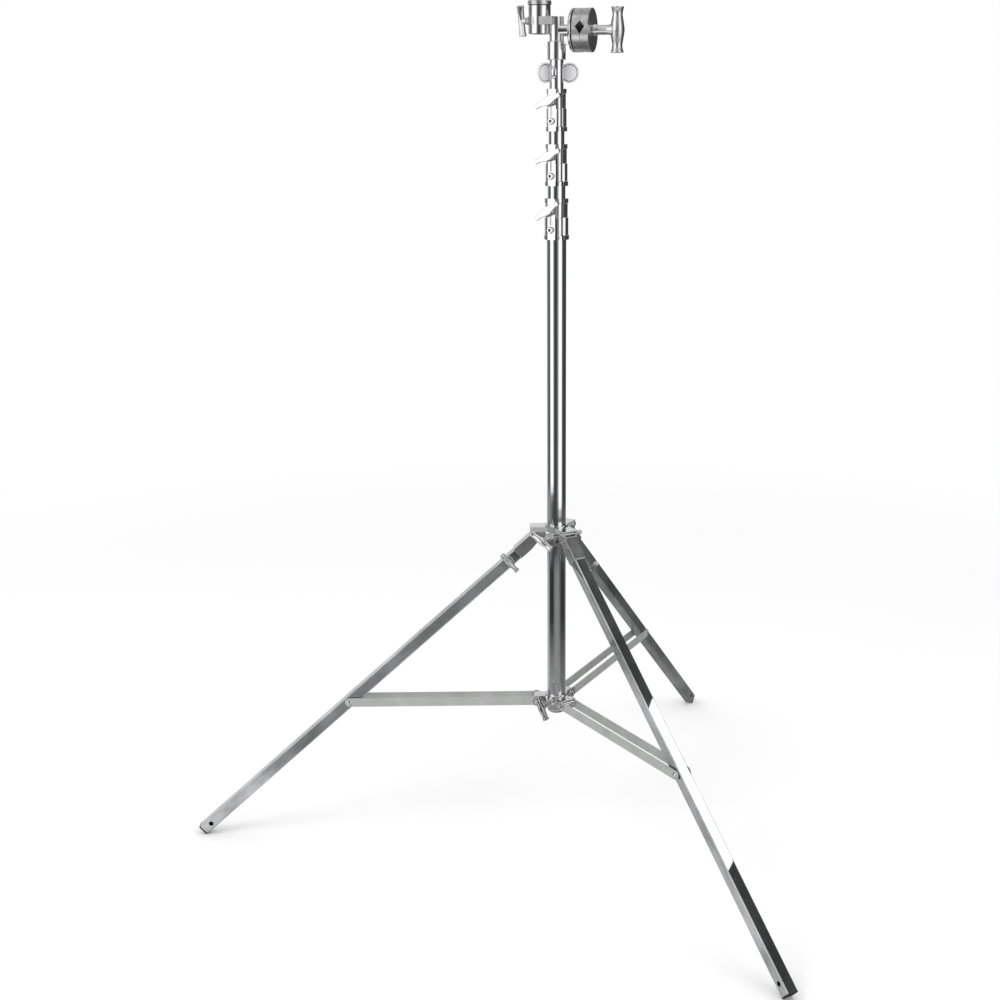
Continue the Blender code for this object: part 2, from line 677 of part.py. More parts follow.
def brace(name, number, parent):
    """Two flat bars, one on each side of the leg, each with a rivet head formed on it at the leg's pivot."""
    slope = math.degrees(math.atan2(BRACE_RISE, BRACE_RUN))
    axis = pivot_frame(f"brace_{name}", number, parent, LOWER_PIVOT_RADIUS, LOWER_PIVOT_HEIGHT, -slope)
    outline = capsule(0, BRACE_LENGTH, BRACE_HEIGHT / 2)
    for side, label in ((-1, "a"), (1, "b")):
        low, high = sorted((side * BRACE_INNER, side * BRACE_OUTER))
        bar = piece(f"brace_{name}_{label}", plate(outline, low, high), axis, ZINC, 0.38)
        cut(bar, rod(BRACE_PIN_RADIUS + GAP, -0.03, 0.03, SMALL_SIDES, "Y"))
        head = [
            (0.0072, side * (BRACE_INNER + 0.001)),
            (0.0072, side * (BRACE_OUTER + 0.0028)),
            (0.0050, side * (BRACE_OUTER + 0.0042)),
        ]
        join(bar, turned(head, SMALL_SIDES, "Y"), at=(BRACE_LENGTH, 0, 0))


# Head


def head_casting(parent):
    """A sleeve on the top riser, a post, a stub for the grip head and an arm round the receiver."""
    sleeve = [
        (SLEEVE_RADIUS - 0.001, HEAD_BOTTOM),
        (SLEEVE_RADIUS, HEAD_BOTTOM + 0.001),
        (SLEEVE_RADIUS, SLEEVE_TOP - 0.002),
        (POST_RADIUS, SLEEVE_TOP),
        (POST_RADIUS, ARM_TOP - 0.001),
        (POST_RADIUS - 0.001, ARM_TOP),
    ]
    head = piece("head_casting", turned(sleeve, TUBE_SIDES), parent, NICKEL, 0.2)
    join(head, block((0.002, -0.0145, SLEEVE_TOP - 0.006), (POST_RADIUS + 0.0012, 0.0145, ARM_TOP - 0.0006)))
    arm_outline = arm_shape()
    arm = bmesh.new()
    face = arm.faces.new([arm.verts.new((x, y, ARM_BOTTOM)) for x, y in arm_outline])
    grown = bmesh.ops.extrude_face_region(arm, geom=[face])
    moved = [item for item in grown["geom"] if isinstance(item, bmesh.types.BMVert)]
    bmesh.ops.translate(arm, verts=moved, vec=(0, 0, ARM_TOP - ARM_BOTTOM - 0.0003))
    join(head, to_mesh("arm", arm))
    receiver = [
        (RECEIVER_RADIUS - 0.001, RECEIVER_BOTTOM),
        (RECEIVER_RADIUS, RECEIVER_BOTTOM + 0.001),
        (RECEIVER_RADIUS, RECEIVER_TOP - 0.012),
        (RECEIVER_RADIUS + 0.0012, RECEIVER_TOP - 0.0112),
        (RECEIVER_RADIUS + 0.0012, RECEIVER_TOP - 0.001),
        (RECEIVER_RADIUS, RECEIVER_TOP),
    ]
    join(head, turned(receiver, TUBE_SIDES), at=(-RECEIVER_OFFSET, 0, 0))
    join(head, rod(STUB_RADIUS, 0.005, BACK_PLATE_AT - GAP, 24, "X"), at=(0, 0, GRIP_HEIGHT))
    rib = plate(
        [
            (0.006, GRIP_HEIGHT - 0.0325),
            (0.030, GRIP_HEIGHT - 0.0325),
            (BACK_PLATE_AT - GAP, GRIP_HEIGHT - 0.026),
            (BACK_PLATE_AT - GAP, GRIP_HEIGHT + 0.026),
            (0.030, GRIP_HEIGHT + 0.0325),
            (0.006, GRIP_HEIGHT + 0.0325),
        ],
        -0.0062,
        0.0062,
    )
    join(head, rib)
    gusset = [
        (0.008, RECEIVER_BOTTOM),
        (POST_RADIUS - 0.001, RECEIVER_BOTTOM - 0.001),
        (SLEEVE_RADIUS + 0.0012, SLEEVE_TOP - 0.009),
        (0.008, SLEEVE_TOP - 0.015),
    ]
    join(head, plate(gusset, -0.0045, 0.0045))
    boss = turned([(0.0092, 0.020), (0.0092, 0.0325), (0.0082, 0.0335)], 12, "X")
    middle = (ARM_BOTTOM + ARM_TOP) / 2
    join(head, boss, at=(-RECEIVER_OFFSET, 0, middle), turn=(0, 0, 180))
    cut(head, rod(TOP_RADIUS + GAP, HEAD_BOTTOM - 0.01, SLEEVE_TOP - 0.0035, TUBE_SIDES))
    bore = RECEIVER_BORE + RECEIVER_LINER + GAP
    cut(
        head,
        rod(bore, RECEIVER_BOTTOM - 0.01, RECEIVER_TOP + 0.01, TUBE_SIDES),
        at=(-RECEIVER_OFFSET, 0, 0),
    )
    screw_hole = rod(SHANK_RADIUS + GAP, 0.010, 0.05, SMALL_SIDES, "X")
    cut(head, screw_hole, at=(-RECEIVER_OFFSET, 0, middle), turn=(0, 0, 180))
    cut(head, rod(STUD_RADIUS + GAP, STUD_START - GAP, 0.06, 20, "X"), at=(0, 0, GRIP_HEIGHT))
    receiver_liner(parent, middle)


def arm_shape():
    """The outline seen from above: a round eye about the receiver that tapers to the post."""
    eye = RECEIVER_RADIUS + 0.0022
    neck = POST_RADIUS + 0.0006
    lean = math.degrees(math.asin((eye - neck) / RECEIVER_OFFSET))
    outline = arc(-RECEIVER_OFFSET, 0, eye, 90 - lean, 270 + lean, 18)
    outline += arc(0, 0, neck, -90 + lean, 90 - lean, 8)
    return outline


def receiver_liner(parent, middle):
    """The steel socket in the receiver's eye, open right through."""
    outer = RECEIVER_BORE + RECEIVER_LINER
    outline = [
        (RECEIVER_BORE, RECEIVER_BOTTOM + 0.001),
        (outer, RECEIVER_BOTTOM + 0.001),
        (outer, RECEIVER_TOP + 0.0012),
        (RECEIVER_BORE + 0.001, RECEIVER_TOP + 0.0012),
        (RECEIVER_BORE, RECEIVER_TOP + 0.0002),
    ]
    axis = frame("receiver_axis", parent, (-RECEIVER_OFFSET, 0, 0))
    liner = piece("receiver_liner", turned(outline, TUBE_SIDES, ring=True), axis, STEEL, 0.3)
    cut(liner, rod(SHANK_RADIUS + GAP, 0.008, 0.05, SMALL_SIDES, "X"), at=(0, 0, middle), turn=(0, 0, 180))
    clamp_handle(
        "receiver_handle",
        axis,
        RECEIVER_CLAMP_REACH,
        RECEIVER_BORE + 0.0005,
        180,
        middle,
        RECEIVER_CLAMP_TILT,
        RECEIVER_HANDLE_HALF,
        BAR_RADII,
    )


def disc(outer, inner, low, high, edge, sides=DISC_SIDES):
    outline = [
        (inner, low),
        (outer - edge, low),
        (outer, low + edge),
        (outer, high - edge),
        (outer - edge, high),
        (inner, high),
    ]
    return turned(outline, sides, "X", ring=True)


def groove(made):
    """Two V grooves across the jaws, one each side of the stud, that close to a square hole between them."""
    slope = math.radians(GROOVE_SLOPE)
    rim = Vector((0, -math.sqrt(GRIP_RADIUS**2 - GROOVE_EXIT**2), GROOVE_EXIT))
    run = Vector((0, math.cos(slope), -math.sin(slope)))
    centre = rim - run * rim.dot(run)
    parting = OUTER_JAW_AT - GAP / 2
    side = GROOVE_HALF * math.sqrt(2)
    for sign in (1, -1):
        shape = bmesh.new()
        bmesh.ops.create_cube(shape, size=1)
        sizes = Matrix.Diagonal((side, 0.16, side, 1))
        diamond = Matrix.Rotation(math.radians(45), 4, "Y")
        bmesh.ops.transform(shape, matrix=diamond @ sizes, verts=shape.verts)
        cutter = to_mesh("groove", shape, smooth=False)
        at = (parting, sign * centre.y, GRIP_HEIGHT + sign * centre.z)
        cut(made, cutter, at=at, turn=(-GROOVE_SLOPE, 0, 0))


def grip_head(parent):
    hole = STUD_RADIUS + GAP
    back = disc(
        GRIP_RADIUS, hole, BACK_PLATE_AT, BACK_PLATE_AT + BACK_PLATE_THICKNESS, 0.0022
    )
    piece("grip_back_plate", back, parent, NICKEL, 0.28, at=(0, 0, GRIP_HEIGHT))
    pad = disc(GRIP_RADIUS - 0.002, hole, FRICTION_AT, FRICTION_AT + FRICTION_THICKNESS, 0.0003)
    piece("friction_disc", pad, parent, BLACK, 0.8, 0.0, at=(0, 0, GRIP_HEIGHT))
    tip = 0.001
    stud = turned(
        [
            (STUD_RADIUS - tip, STUD_START),
            (STUD_RADIUS, STUD_START + tip),
            (STUD_RADIUS, STUD_END - tip),
            (STUD_RADIUS - tip, STUD_END),
        ],
        20,
        "X",
    )
    piece("grip_stud", stud, parent, STEEL, 0.35, at=(0, 0, GRIP_HEIGHT))
    jaw_axis = frame("jaw_axis", parent, (0, 0, 0))
    inner = disc(GRIP_RADIUS, hole, INNER_JAW_AT, INNER_JAW_AT + JAW_THICKNESS, 0.0005)
    inner_jaw = piece("inner_jaw", inner, jaw_axis, STEEL, 0.38, at=(0, 0, GRIP_HEIGHT))
    groove(inner_jaw)
    outer = disc(GRIP_RADIUS, hole, OUTER_JAW_AT, OUTER_JAW_AT + JAW_THICKNESS, 0.001)
    outer_jaw = piece("outer_jaw", outer, jaw_axis, STEEL, 0.38, at=(0, 0, GRIP_HEIGHT))
    groove(outer_jaw)
    washer = disc(0.0135, hole, WASHER_AT, WASHER_AT + WASHER_THICKNESS, 0.001, 24)
    piece("grip_washer", washer, jaw_axis, NICKEL, 0.25, at=(0, 0, GRIP_HEIGHT))
    grip_handle(jaw_axis)


def grip_handle(parent):
    axis = frame("grip_handle_axis", parent, (GRIP_BAR_AT, 0, GRIP_HEIGHT))
    half = GRIP_HANDLE_HALF
    profile = [
        (0.0142, -half),
        (0.0159, -half + 0.002),
        (0.0138, -half + 0.014),
        (0.0134, -half + 0.024),
        (0.0156, -half * 0.2),
        (0.0162, 0),
    ]
    profile += [(radius, -along) for radius, along in reversed(profile[:-1])]
    bar = piece("grip_handle", turned(profile, 20), axis, CHROME, 0.12)
    shank = [
        (GRIP_SHANK_RADIUS + 0.0008, GRIP_SHANK_AT - GRIP_BAR_AT),
        (GRIP_SHANK_RADIUS - 0.0012, GRIP_SHANK_AT - GRIP_BAR_AT + 0.006),
        (GRIP_SHANK_RADIUS - 0.0012, -0.022),
        (GRIP_SHANK_RADIUS + 0.0008, -0.010),
        (GRIP_SHANK_RADIUS + 0.0008, -0.002),
    ]
    join(bar, turned(shank, 20, "X"))
    cut(bar, rod(STUD_RADIUS + GAP, GRIP_SHANK_AT - GRIP_BAR_AT - 0.01, STUD_END + GAP - GRIP_BAR_AT, 20, "X"))


# Ears on the top riser


def tie_off_ears(parent, tube):
    """Two dished round ears on a bent plate behind the top riser, with a stud through the riser's wall."""
    axis = frame("ear_axis", parent, (0, 0, EAR_HEIGHT), (0, 0, EAR_YAW))
    strap = block(
        (EAR_SHIFT - 0.011, TOP_RADIUS + 0.0012, -0.009), (EAR_SHIFT + 0.011, EAR_APEX + 0.0028, 0.009), 0.0005
    )
    ears = piece("tie_off_ears", strap, axis, NICKEL, 0.22)
    rim = EAR_RADIUS
    half = EAR_THICKNESS / 2
    dished = [
        (0, -half),
        (rim - EAR_RIM, -half),
        (rim - EAR_RIM + 0.0006, -half - 0.0014),
        (rim, -half - 0.0010),
    ]
    dished += [(radius, -along) for radius, along in reversed(dished)]
    for side in (-1, 1):
        splay = math.radians(EAR_SPLAY)
        along = Vector((side * math.cos(splay), -math.sin(splay), 0))
        centre = Vector((EAR_SHIFT, EAR_APEX, 0)) + along * EAR_REACH
        turn = (0, 0, -side * EAR_SPLAY)
        join(ears, turned(dished, 24, "Y"), at=centre, turn=turn)
        inner, outer = sorted((-side * 0.034, -side * 0.015))
        web = half - 0.0002
        join(ears, block((inner, -web, -0.008), (outer, web, 0.008)), at=centre, turn=turn)
    cut(ears, rod(TOP_RADIUS + 2 * GAP, -0.04, 0.04, TUBE_SIDES), turn=(0, 0, -EAR_YAW))
    join(ears, rod(0.004, 0.0125, EAR_APEX, SMALL_SIDES, "Y"))
    cut(tube, rod(0.0043, 0.0, 0.03, SMALL_SIDES, "Y"), at=(0, 0, EAR_HEIGHT), turn=(0, 0, EAR_YAW))


def riser_button(parent, tube):
    """A tall rounded stop stud on the front of the top riser, on a stem through its wall."""
    axis = frame("button_axis", parent, (0, 0, EAR_HEIGHT), (0, 0, BUTTON_AZIMUTH))
    face = TOP_RADIUS + GAP
    shape = bmesh.new()
    bmesh.ops.create_uvsphere(shape, u_segments=12, v_segments=8, radius=1)
    sizes = Matrix.Diagonal((0.0055, 0.0078, 0.0160, 1))
    bmesh.ops.transform(shape, matrix=Matrix.Translation((face, 0, 0)) @ sizes, verts=shape.verts)
    made = piece("riser_button", to_mesh("button", shape), axis, CHROME, 0.15)
    cut(made, rod(face, -0.04, 0.04, TUBE_SIDES), turn=(0, 0, -BUTTON_AZIMUTH))
    join(made, rod(0.004, 0.0125, face + 0.002, SMALL_SIDES, "X"))
    cut(tube, rod(0.0043, 0.005, 0.03, SMALL_SIDES, "X"), at=(0, 0, EAR_HEIGHT), turn=(0, 0, BUTTON_AZIMUTH))


# The whole stand


def world_box():
    """The lowest and highest corners of all pieces, with their Booleans done."""
    bpy.context.view_layer.update()
    graph = bpy.context.evaluated_depsgraph_get()
    low = Vector((math.inf,) * 3)
    high = Vector((-math.inf,) * 3)
    for made in bpy.data.objects:
        if made.type != "MESH" or made.hide_render:
            continue
        finished = made.evaluated_get(graph)
        for vertex in finished.data.vertices:
            point = finished.matrix_world @ vertex.co
            low = Vector(map(min, low, point))
            high = Vector(map(max, high, point))
    return low, high


def main():
    for old in list(bpy.data.objects):
        bpy.data.objects.remove(old, do_unlink=True)
    stand = frame("stand", None)
    base_tube(stand)
    inside = BASE_RADIUS - TUBE_WALL - GAP
    bottom_plug("base_plug", stand, BASE_RADIUS, inside, MAST_BOTTOM, NICKEL, 0.2, 1.0)
    collar(1, stand)
    lower_hub(stand)
    hub_axis = frame("upper_hub_axis", stand)
    upper_hub(hub_axis)
    for number, name in enumerate(LEG_NAMES):
        leg(name, number, hub_axis)
        brace(name, number, stand)
    below = stand
    for number in range(1, RISER_COUNT + 1):
        below, tube = riser(number, below)
        if number < RISER_COUNT:
            collar(number + 1, below)
    tie_off_ears(below, tube)
    riser_button(below, tube)
    head_axis = frame("head_axis", below)
    head_casting(head_axis)
    grip_head(head_axis)
    low, high = world_box()
    stand.location = (-(low.x + high.x) / 2, -(low.y + high.y) / 2, -low.z)
    bpy.context.view_layer.update()


main()
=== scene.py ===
"""Overhead stand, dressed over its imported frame.

Metres, +Z up. The mast is vertical, and the grip head's screw lies along +X from it. Each piece is made in a
frame of its own: a handle's screw or a bolt lies along X, and a leg or brace runs down its X.
"""

import json
import math

import bmesh
import bpy
from bpy.props import FloatProperty, FloatVectorProperty, PointerProperty
from mathutils import Matrix, Vector

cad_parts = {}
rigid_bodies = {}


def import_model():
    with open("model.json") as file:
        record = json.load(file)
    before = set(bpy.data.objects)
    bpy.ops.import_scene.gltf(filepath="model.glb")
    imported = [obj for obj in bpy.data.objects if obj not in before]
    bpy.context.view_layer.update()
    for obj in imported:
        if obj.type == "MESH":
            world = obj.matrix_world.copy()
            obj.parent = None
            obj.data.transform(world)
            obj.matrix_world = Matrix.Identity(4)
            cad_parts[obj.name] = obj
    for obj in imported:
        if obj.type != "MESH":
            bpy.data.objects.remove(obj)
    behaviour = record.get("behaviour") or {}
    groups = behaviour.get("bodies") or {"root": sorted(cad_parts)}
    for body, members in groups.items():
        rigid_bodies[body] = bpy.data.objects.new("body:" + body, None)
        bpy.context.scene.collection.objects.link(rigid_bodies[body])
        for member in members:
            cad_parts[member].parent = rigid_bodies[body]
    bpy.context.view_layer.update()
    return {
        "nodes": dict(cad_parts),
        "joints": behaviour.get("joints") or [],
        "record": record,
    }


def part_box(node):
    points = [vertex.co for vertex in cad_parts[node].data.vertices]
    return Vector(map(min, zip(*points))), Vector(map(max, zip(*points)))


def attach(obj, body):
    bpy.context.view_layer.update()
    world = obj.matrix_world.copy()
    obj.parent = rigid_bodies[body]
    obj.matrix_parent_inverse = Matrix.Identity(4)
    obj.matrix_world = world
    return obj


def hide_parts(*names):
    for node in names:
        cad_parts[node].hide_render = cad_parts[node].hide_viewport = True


bl_info = {
    "name": "Overhead Stand",
    "version": (1, 0, 0),
    "blender": (4, 5, 0),
    "location": "3D View > Sidebar > Stand",
    "description": "Makes an overhead stand with telescoping risers, folding legs and a grip head",
    "category": "Add Mesh",
}

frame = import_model()

JOINTS = {joint["name"]: joint for joint in frame["joints"]}
BODY_OF = {node: body for body, nodes in frame["record"]["behaviour"]["bodies"].items() for node in nodes}
LEGS = ("left", "front", "back")


def node_size(node):
    low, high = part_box(node)
    return high - low


def node_middle(node):
    low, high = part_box(node)
    return (low + high) / 2


def span(node, axis):
    """Where a CAD node starts and ends along one axis."""
    return tuple(getattr(corner, axis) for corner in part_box(node))


def joint_point(name):
    return Vector(JOINTS[name]["pos_m"])


def joint_axis(name):
    return Vector(JOINTS[name]["axis"])


MAST = Vector((*node_middle("base_tube").xy, 0))
BASE_DIAMETER = node_size("base_tube").x
RISER_STEP = (BASE_DIAMETER - node_size("riser_3").x) / 3
GRIP_DIAMETER = node_size("inner_jaw").z
GAP = 0.0003
FLAT = math.radians(1)
SHARP = math.radians(32)

# Radii of the handles' bars at the ends, the waists and the middle
WING_RADII = (0.0064, 0.0060, 0.0098)
HUB_BAR_RADII = (0.0086, 0.0074, 0.0091)
RECEIVER_BAR_RADII = (0.0094, 0.0082, 0.0082)

# How far each handle's bar is turned about its screw, in degrees
WING_TILTS = (34.0, 24.4, 24.4)
UPPER_HUB_TILT = -32.0
LOWER_HUB_TILT = -64.0
RECEIVER_TILT = 73.4

# Heights of a collar's fixed screw and clamp screw above its foot
FIXED_SCREW_RISE = 0.025
CLAMP_SCREW_RISE = 0.074


# Placing


def placed(point=(0, 0, 0), azimuth=0.0, pitch=0.0, tilt=0.0):
    """The frame of a piece: tilted about its own X, pitched about Y and turned to its azimuth, in degrees."""
    turn = Matrix.Rotation(math.radians(azimuth), 4, "Z")
    turn = turn @ Matrix.Rotation(math.radians(pitch), 4, "Y")
    return Matrix.Translation(point) @ turn @ Matrix.Rotation(math.radians(tilt), 4, "X")


def leg_azimuth(name):
    """The legs' hinge axes lie across them, so a leg's azimuth is a quarter turn behind its axis."""
    axis = joint_axis(f"leg_hinge_{name}")
    return math.degrees(math.atan2(-axis.x, axis.y))


def screw_azimuth(name):
    axis = joint_axis(name)
    return math.degrees(math.atan2(axis.y, axis.x))


def on_mast(height=0.0, azimuth=0.0):
    return placed(MAST + Vector((0, 0, height)), azimuth)


def on_hinge(name, legs):
    """The frame of an open leg: its origin on the hinge, its X down the leg."""
    return placed(joint_point(f"leg_hinge_{name}"), leg_azimuth(name), 90 - math.degrees(legs.leg_spread))


# Shapes


def turned(outline, steps=64, axis="Z", ring=False):
    """Spins an outline of (radius, height) points round an axis. A ring's outline closes on itself."""
    shape = bmesh.new()
    points = [shape.verts.new((radius, 0, height)) for radius, height in outline]
    pairs = zip(points, points[1:] + points[:1] if ring else points[1:])
    edges = [shape.edges.new(pair) for pair in pairs]
    bmesh.ops.spin(
        shape,
        geom=points + edges,
        cent=(0, 0, 0),
        axis=(0, 0, 1),
        angle=2 * math.pi,
        steps=steps,
        use_merge=True,
    )
    bmesh.ops.remove_doubles(shape, verts=shape.verts, dist=1e-6)
    bmesh.ops.holes_fill(shape, edges=[edge for edge in shape.edges if edge.is_boundary], sides=0)
    if axis != "Z":
        turn = {"X": (math.pi / 2, "Y"), "Y": (-math.pi / 2, "X")}[axis]
        bmesh.ops.rotate(shape, verts=shape.verts, cent=(0, 0, 0), matrix=Matrix.Rotation(turn[0], 3, turn[1]))
    bmesh.ops.recalc_face_normals(shape, faces=shape.faces)
    return shape


def rod(radius, low, high, steps=48, axis="Z"):
    return turned([(radius, low), (radius, high)], steps, axis)


def hole(radius, low, high, axis="X", at=Matrix(), steps=32):
    """The cutter of a hole that leaves a running gap round a screw or pin."""
    return moved(rod(radius + GAP, low, high, steps, axis), at)


def boss(radius, low, high):
    """A round boss along X, with a small chamfer at its far end."""
    return turned([(radius, low), (radius, high - 0.001), (radius - 0.001, high)], 48, "X")


def block(low, high, round_along="", corner=0.0, steps=4):
    """A box. With a corner radius, its edges along one axis are rounded."""
    shape = bmesh.new()
    low, high = Vector(low), Vector(high)
    place = Matrix.Translation((low + high) / 2) @ Matrix.Diagonal((*(high - low), 1))
    bmesh.ops.create_cube(shape, size=1, matrix=place)
    if corner:
        along = "XYZ".index(round_along)
        edges = [e for e in shape.edges if abs((e.verts[0].co - e.verts[1].co).normalized()[along]) > 0.99]
        bmesh.ops.bevel(
            shape, geom=edges, offset=corner, segments=steps, profile=0.5, affect="EDGES", material=-1
        )
    return shape


def plate(outline, low, high):
    """An outline of (x, z) points given thickness along Y."""
    shape = bmesh.new()
    face = shape.faces.new([shape.verts.new((x, low, z)) for x, z in outline])
    grown = bmesh.ops.extrude_face_region(shape, geom=[face])
    far = [item for item in grown["geom"] if isinstance(item, bmesh.types.BMVert)]
    bmesh.ops.translate(shape, verts=far, vec=(0, high - low, 0))
    bmesh.ops.recalc_face_normals(shape, faces=shape.faces)
    return shape


def upright(outline, low, high):
    """An outline of (x, y) points given height along Z."""
    return moved(plate([(x, -y) for x, y in outline], low, high), Matrix.Rotation(math.pi / 2, 4, "X"))


def arc(x, z, radius, start, end, steps):
    angles = [math.radians(start + (end - start) * step / steps) for step in range(steps + 1)]
    return [(x + radius * math.cos(angle), z + radius * math.sin(angle)) for angle in angles]


def capsule(low, high, radius, z=0.0, steps=16):
    return arc(high, z, radius, -90, 90, steps) + arc(low, z, radius, 90, 270, steps)


def flowing(points, steps=5):
    """A smooth line of (radius, along) points through the given ones."""
    ends = [points[0], *points, points[-1]]
    line = []
    for corners in zip(ends, ends[1:], ends[2:], ends[3:]):
        for step in range(steps):
            t = step / steps
            weights = (
                (-t + 2 * t * t - t**3) / 2,
                (2 - 5 * t * t + 3 * t**3) / 2,
                (t + 4 * t * t - 3 * t**3) / 2,
                (t**3 - t * t) / 2,
            )
            line.append(tuple(sum(w * c[i] for w, c in zip(weights, corners)) for i in range(2)))
    return [*line, points[-1]]


def mirrored(outline):
    """An outline and its mirror image beyond along 0, where a last point at 0 is used once."""
    half = outline if outline[-1][1] else outline[:-1]
    return outline + [(radius, -along) for radius, along in reversed(half)]


def threaded(start, end, radius, depth=0.0006, pitch=0.0013):
    """The outline of a screw's threads, as a row of ridges."""
    outline = []
    count = int((end - start) / pitch)
    for ridge in range(count):
        at = start + ridge * pitch
        outline += [(radius - depth, at), (radius, at + pitch * 0.4), (radius, at + pitch * 0.6)]
    return outline + [(radius - depth, start + count * pitch)]


def moved(shape, matrix):
    shape.transform(matrix)
    return shape


def added(shape, *others):
    """Puts the other shapes' meshes in with this one, without cutting them together."""
    for other in others:
        spare = bpy.data.meshes.new("spare")
        other.to_mesh(spare)
        other.free()
        shape.from_mesh(spare)
        bpy.data.meshes.remove(spare)
    return shape


def carved(shape, joins=(), cuts=()):
    """Joins other shapes to this one, then cuts some out of it, and gives the result as one shape."""
    helpers = []
    for number, part in enumerate((shape, *joins, *cuts)):
        mesh = bpy.data.meshes.new(f"helper_{number}")
        part.to_mesh(mesh)
        part.free()
        helpers.append(bpy.data.objects.new(mesh.name, mesh))
        bpy.context.scene.collection.objects.link(helpers[-1])
    for number, helper in enumerate(helpers[1:]):
        boolean = helpers[0].modifiers.new("cut", "BOOLEAN")
        boolean.operation = "UNION" if number < len(joins) else "DIFFERENCE"
        boolean.object = helper
        boolean.solver = "EXACT"
    bpy.context.view_layer.update()
    result = bpy.data.meshes.new_from_object(helpers[0].evaluated_get(bpy.context.evaluated_depsgraph_get()))
    if not result.polygons:
        raise RuntimeError("a cut left nothing of a shape")
    done = bmesh.new()
    done.from_mesh(result)
    bpy.data.meshes.remove(result)
    for helper in helpers:
        mesh = helper.data
        bpy.data.objects.remove(helper)
        bpy.data.meshes.remove(mesh)
    bmesh.ops.remove_doubles(done, verts=done.verts, dist=2e-6)
    return done


def is_flat(face):
    """A broad face that only sharp, level or much smaller faces border: rounding must not shade across it."""
    for edge in face.edges:
        for other in edge.link_faces:
            if other is not face and FLAT < face.normal.angle(other.normal, 0) < SHARP:
                if other.calc_area() * 4 > face.calc_area():
                    return False
    return True


def piece(name, shape, kind, place, edge=0.0, steps=2, others=()):
    """Makes a shape the finished object of the CAD node with its name, which it stands for and rides with.

    Each of the other finishes comes with a test that says which points, in the shape's own frame, it covers.
    """
    shape.normal_update()
    grain = shape.verts.layers.float_vector.new("grain")
    for point in shape.verts:
        point[grain] = point.co
    for face in shape.faces:
        face.smooth = not is_flat(face)
        middle = face.calc_center_median()
        face.material_index = next((number for number, (_, test) in enumerate(others, 1) if test(middle)), 0)
    mesh = bpy.data.meshes.new(name)
    moved(shape, place).to_mesh(mesh)
    shape.free()
    for used in (kind, *(other for other, _ in others)):
        mesh.materials.append(finish(used))
    made = bpy.data.objects.new(name, mesh)
    bpy.context.scene.collection.objects.link(made)
    if edge:
        bevel = made.modifiers.new("edges", "BEVEL")
        bevel.width = edge
        bevel.segments = steps
        bevel.limit_method = "ANGLE"
        bevel.angle_limit = SHARP
        bevel.harden_normals = True
    else:
        mesh.set_sharp_from_angle(angle=SHARP)
    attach(made, BODY_OF[name])
    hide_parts(name)


def dress(node, kind):
    """Gives a CAD node that shows as it is its finish."""
    materials = frame["nodes"][node].data.materials
    materials.clear()
    materials.append(finish(kind))


# Finishes


class Nodes:
    """A material's or the world's node tree, with short calls to add to it."""

    def __init__(self, tree):
        self.tree = tree

    def new(self, kind, **settings):
        node = self.tree.nodes.new(kind)
        for name, value in settings.items():
            setattr(node, name, value)
        return node

    def set(self, socket, value):
        if isinstance(value, bpy.types.NodeSocket):
            self.tree.links.new(value, socket)
        elif value is not None:
            socket.default_value = value

    def filled(self, node, *values, output=0):
        """Sets a node's first inputs, and gives one of its outputs."""
        for socket, value in zip(node.inputs, values):
            self.set(socket, value)
        return node.outputs[output]

    def math(self, operation, *values):
        return self.filled(self.new("ShaderNodeMath", operation=operation), *values)

    def parts(self, point):
        split = self.new("ShaderNodeSeparateXYZ")
        self.set(split.inputs[0], point)
        return split.outputs

    def length(self, first, second):
        squares = [self.math("POWER", value, 2.0) for value in (first, second)]
        return self.math("SQRT", self.math("ADD", *squares))

    def between(self, value, low, high, start=0.0, end=1.0, smooth=False):
        """The value's way from low to high, as a number from start to end."""
        node = self.new("ShaderNodeMapRange", interpolation_type="SMOOTHSTEP" if smooth else "LINEAR")
        return self.filled(node, value, low, high, start, end)

    def blend(self, factor, first, second):
        node = self.new("ShaderNodeMix", data_type="RGBA")
        self.set(node.inputs[0], factor)
        for socket, colour in zip(node.inputs[6:8], (first, second)):
            self.set(socket, colour if isinstance(colour, bpy.types.NodeSocket) else (*colour, 1.0))
        return node.outputs[2]

    def ramp(self, value, stops):
        node = self.new("ShaderNodeValToRGB")
        elements = node.color_ramp.elements
        while len(elements) < len(stops):
            elements.new(1.0)
        for element, (at, grey) in zip(elements, sorted(stops)):
            element.position = at
            element.color = (grey, grey, grey, 1.0)
        return self.filled(node, value)

    def noise(self, where, scale, stretch=(1, 1, 1), detail=3.0, roughness=0.5):
        mapping = self.new("ShaderNodeMapping")
        mapping.inputs["Scale"].default_value = stretch
        node = self.new("ShaderNodeTexNoise")
        self.set(node.inputs["Vector"], self.filled(mapping, where))
        for name, value in (("Scale", scale), ("Detail", detail), ("Roughness", roughness)):
            node.inputs[name].default_value = value
        return node.outputs[0]

    def bump(self, height, strength, distance, normal=None):
        node = self.new("ShaderNodeBump")
        values = {"Strength": strength, "Distance": distance, "Height": height, "Normal": normal}
        for name, value in values.items():
            self.set(node.inputs[name], value)
        return node.outputs[0]

    def surface(self, colour, roughness, normal=None):
        shader = self.tree.nodes["Principled BSDF"]
        for name, value in (("Base Color", colour), ("Roughness", roughness), ("Normal", normal)):
            self.set(shader.inputs[name], value)
        return shader


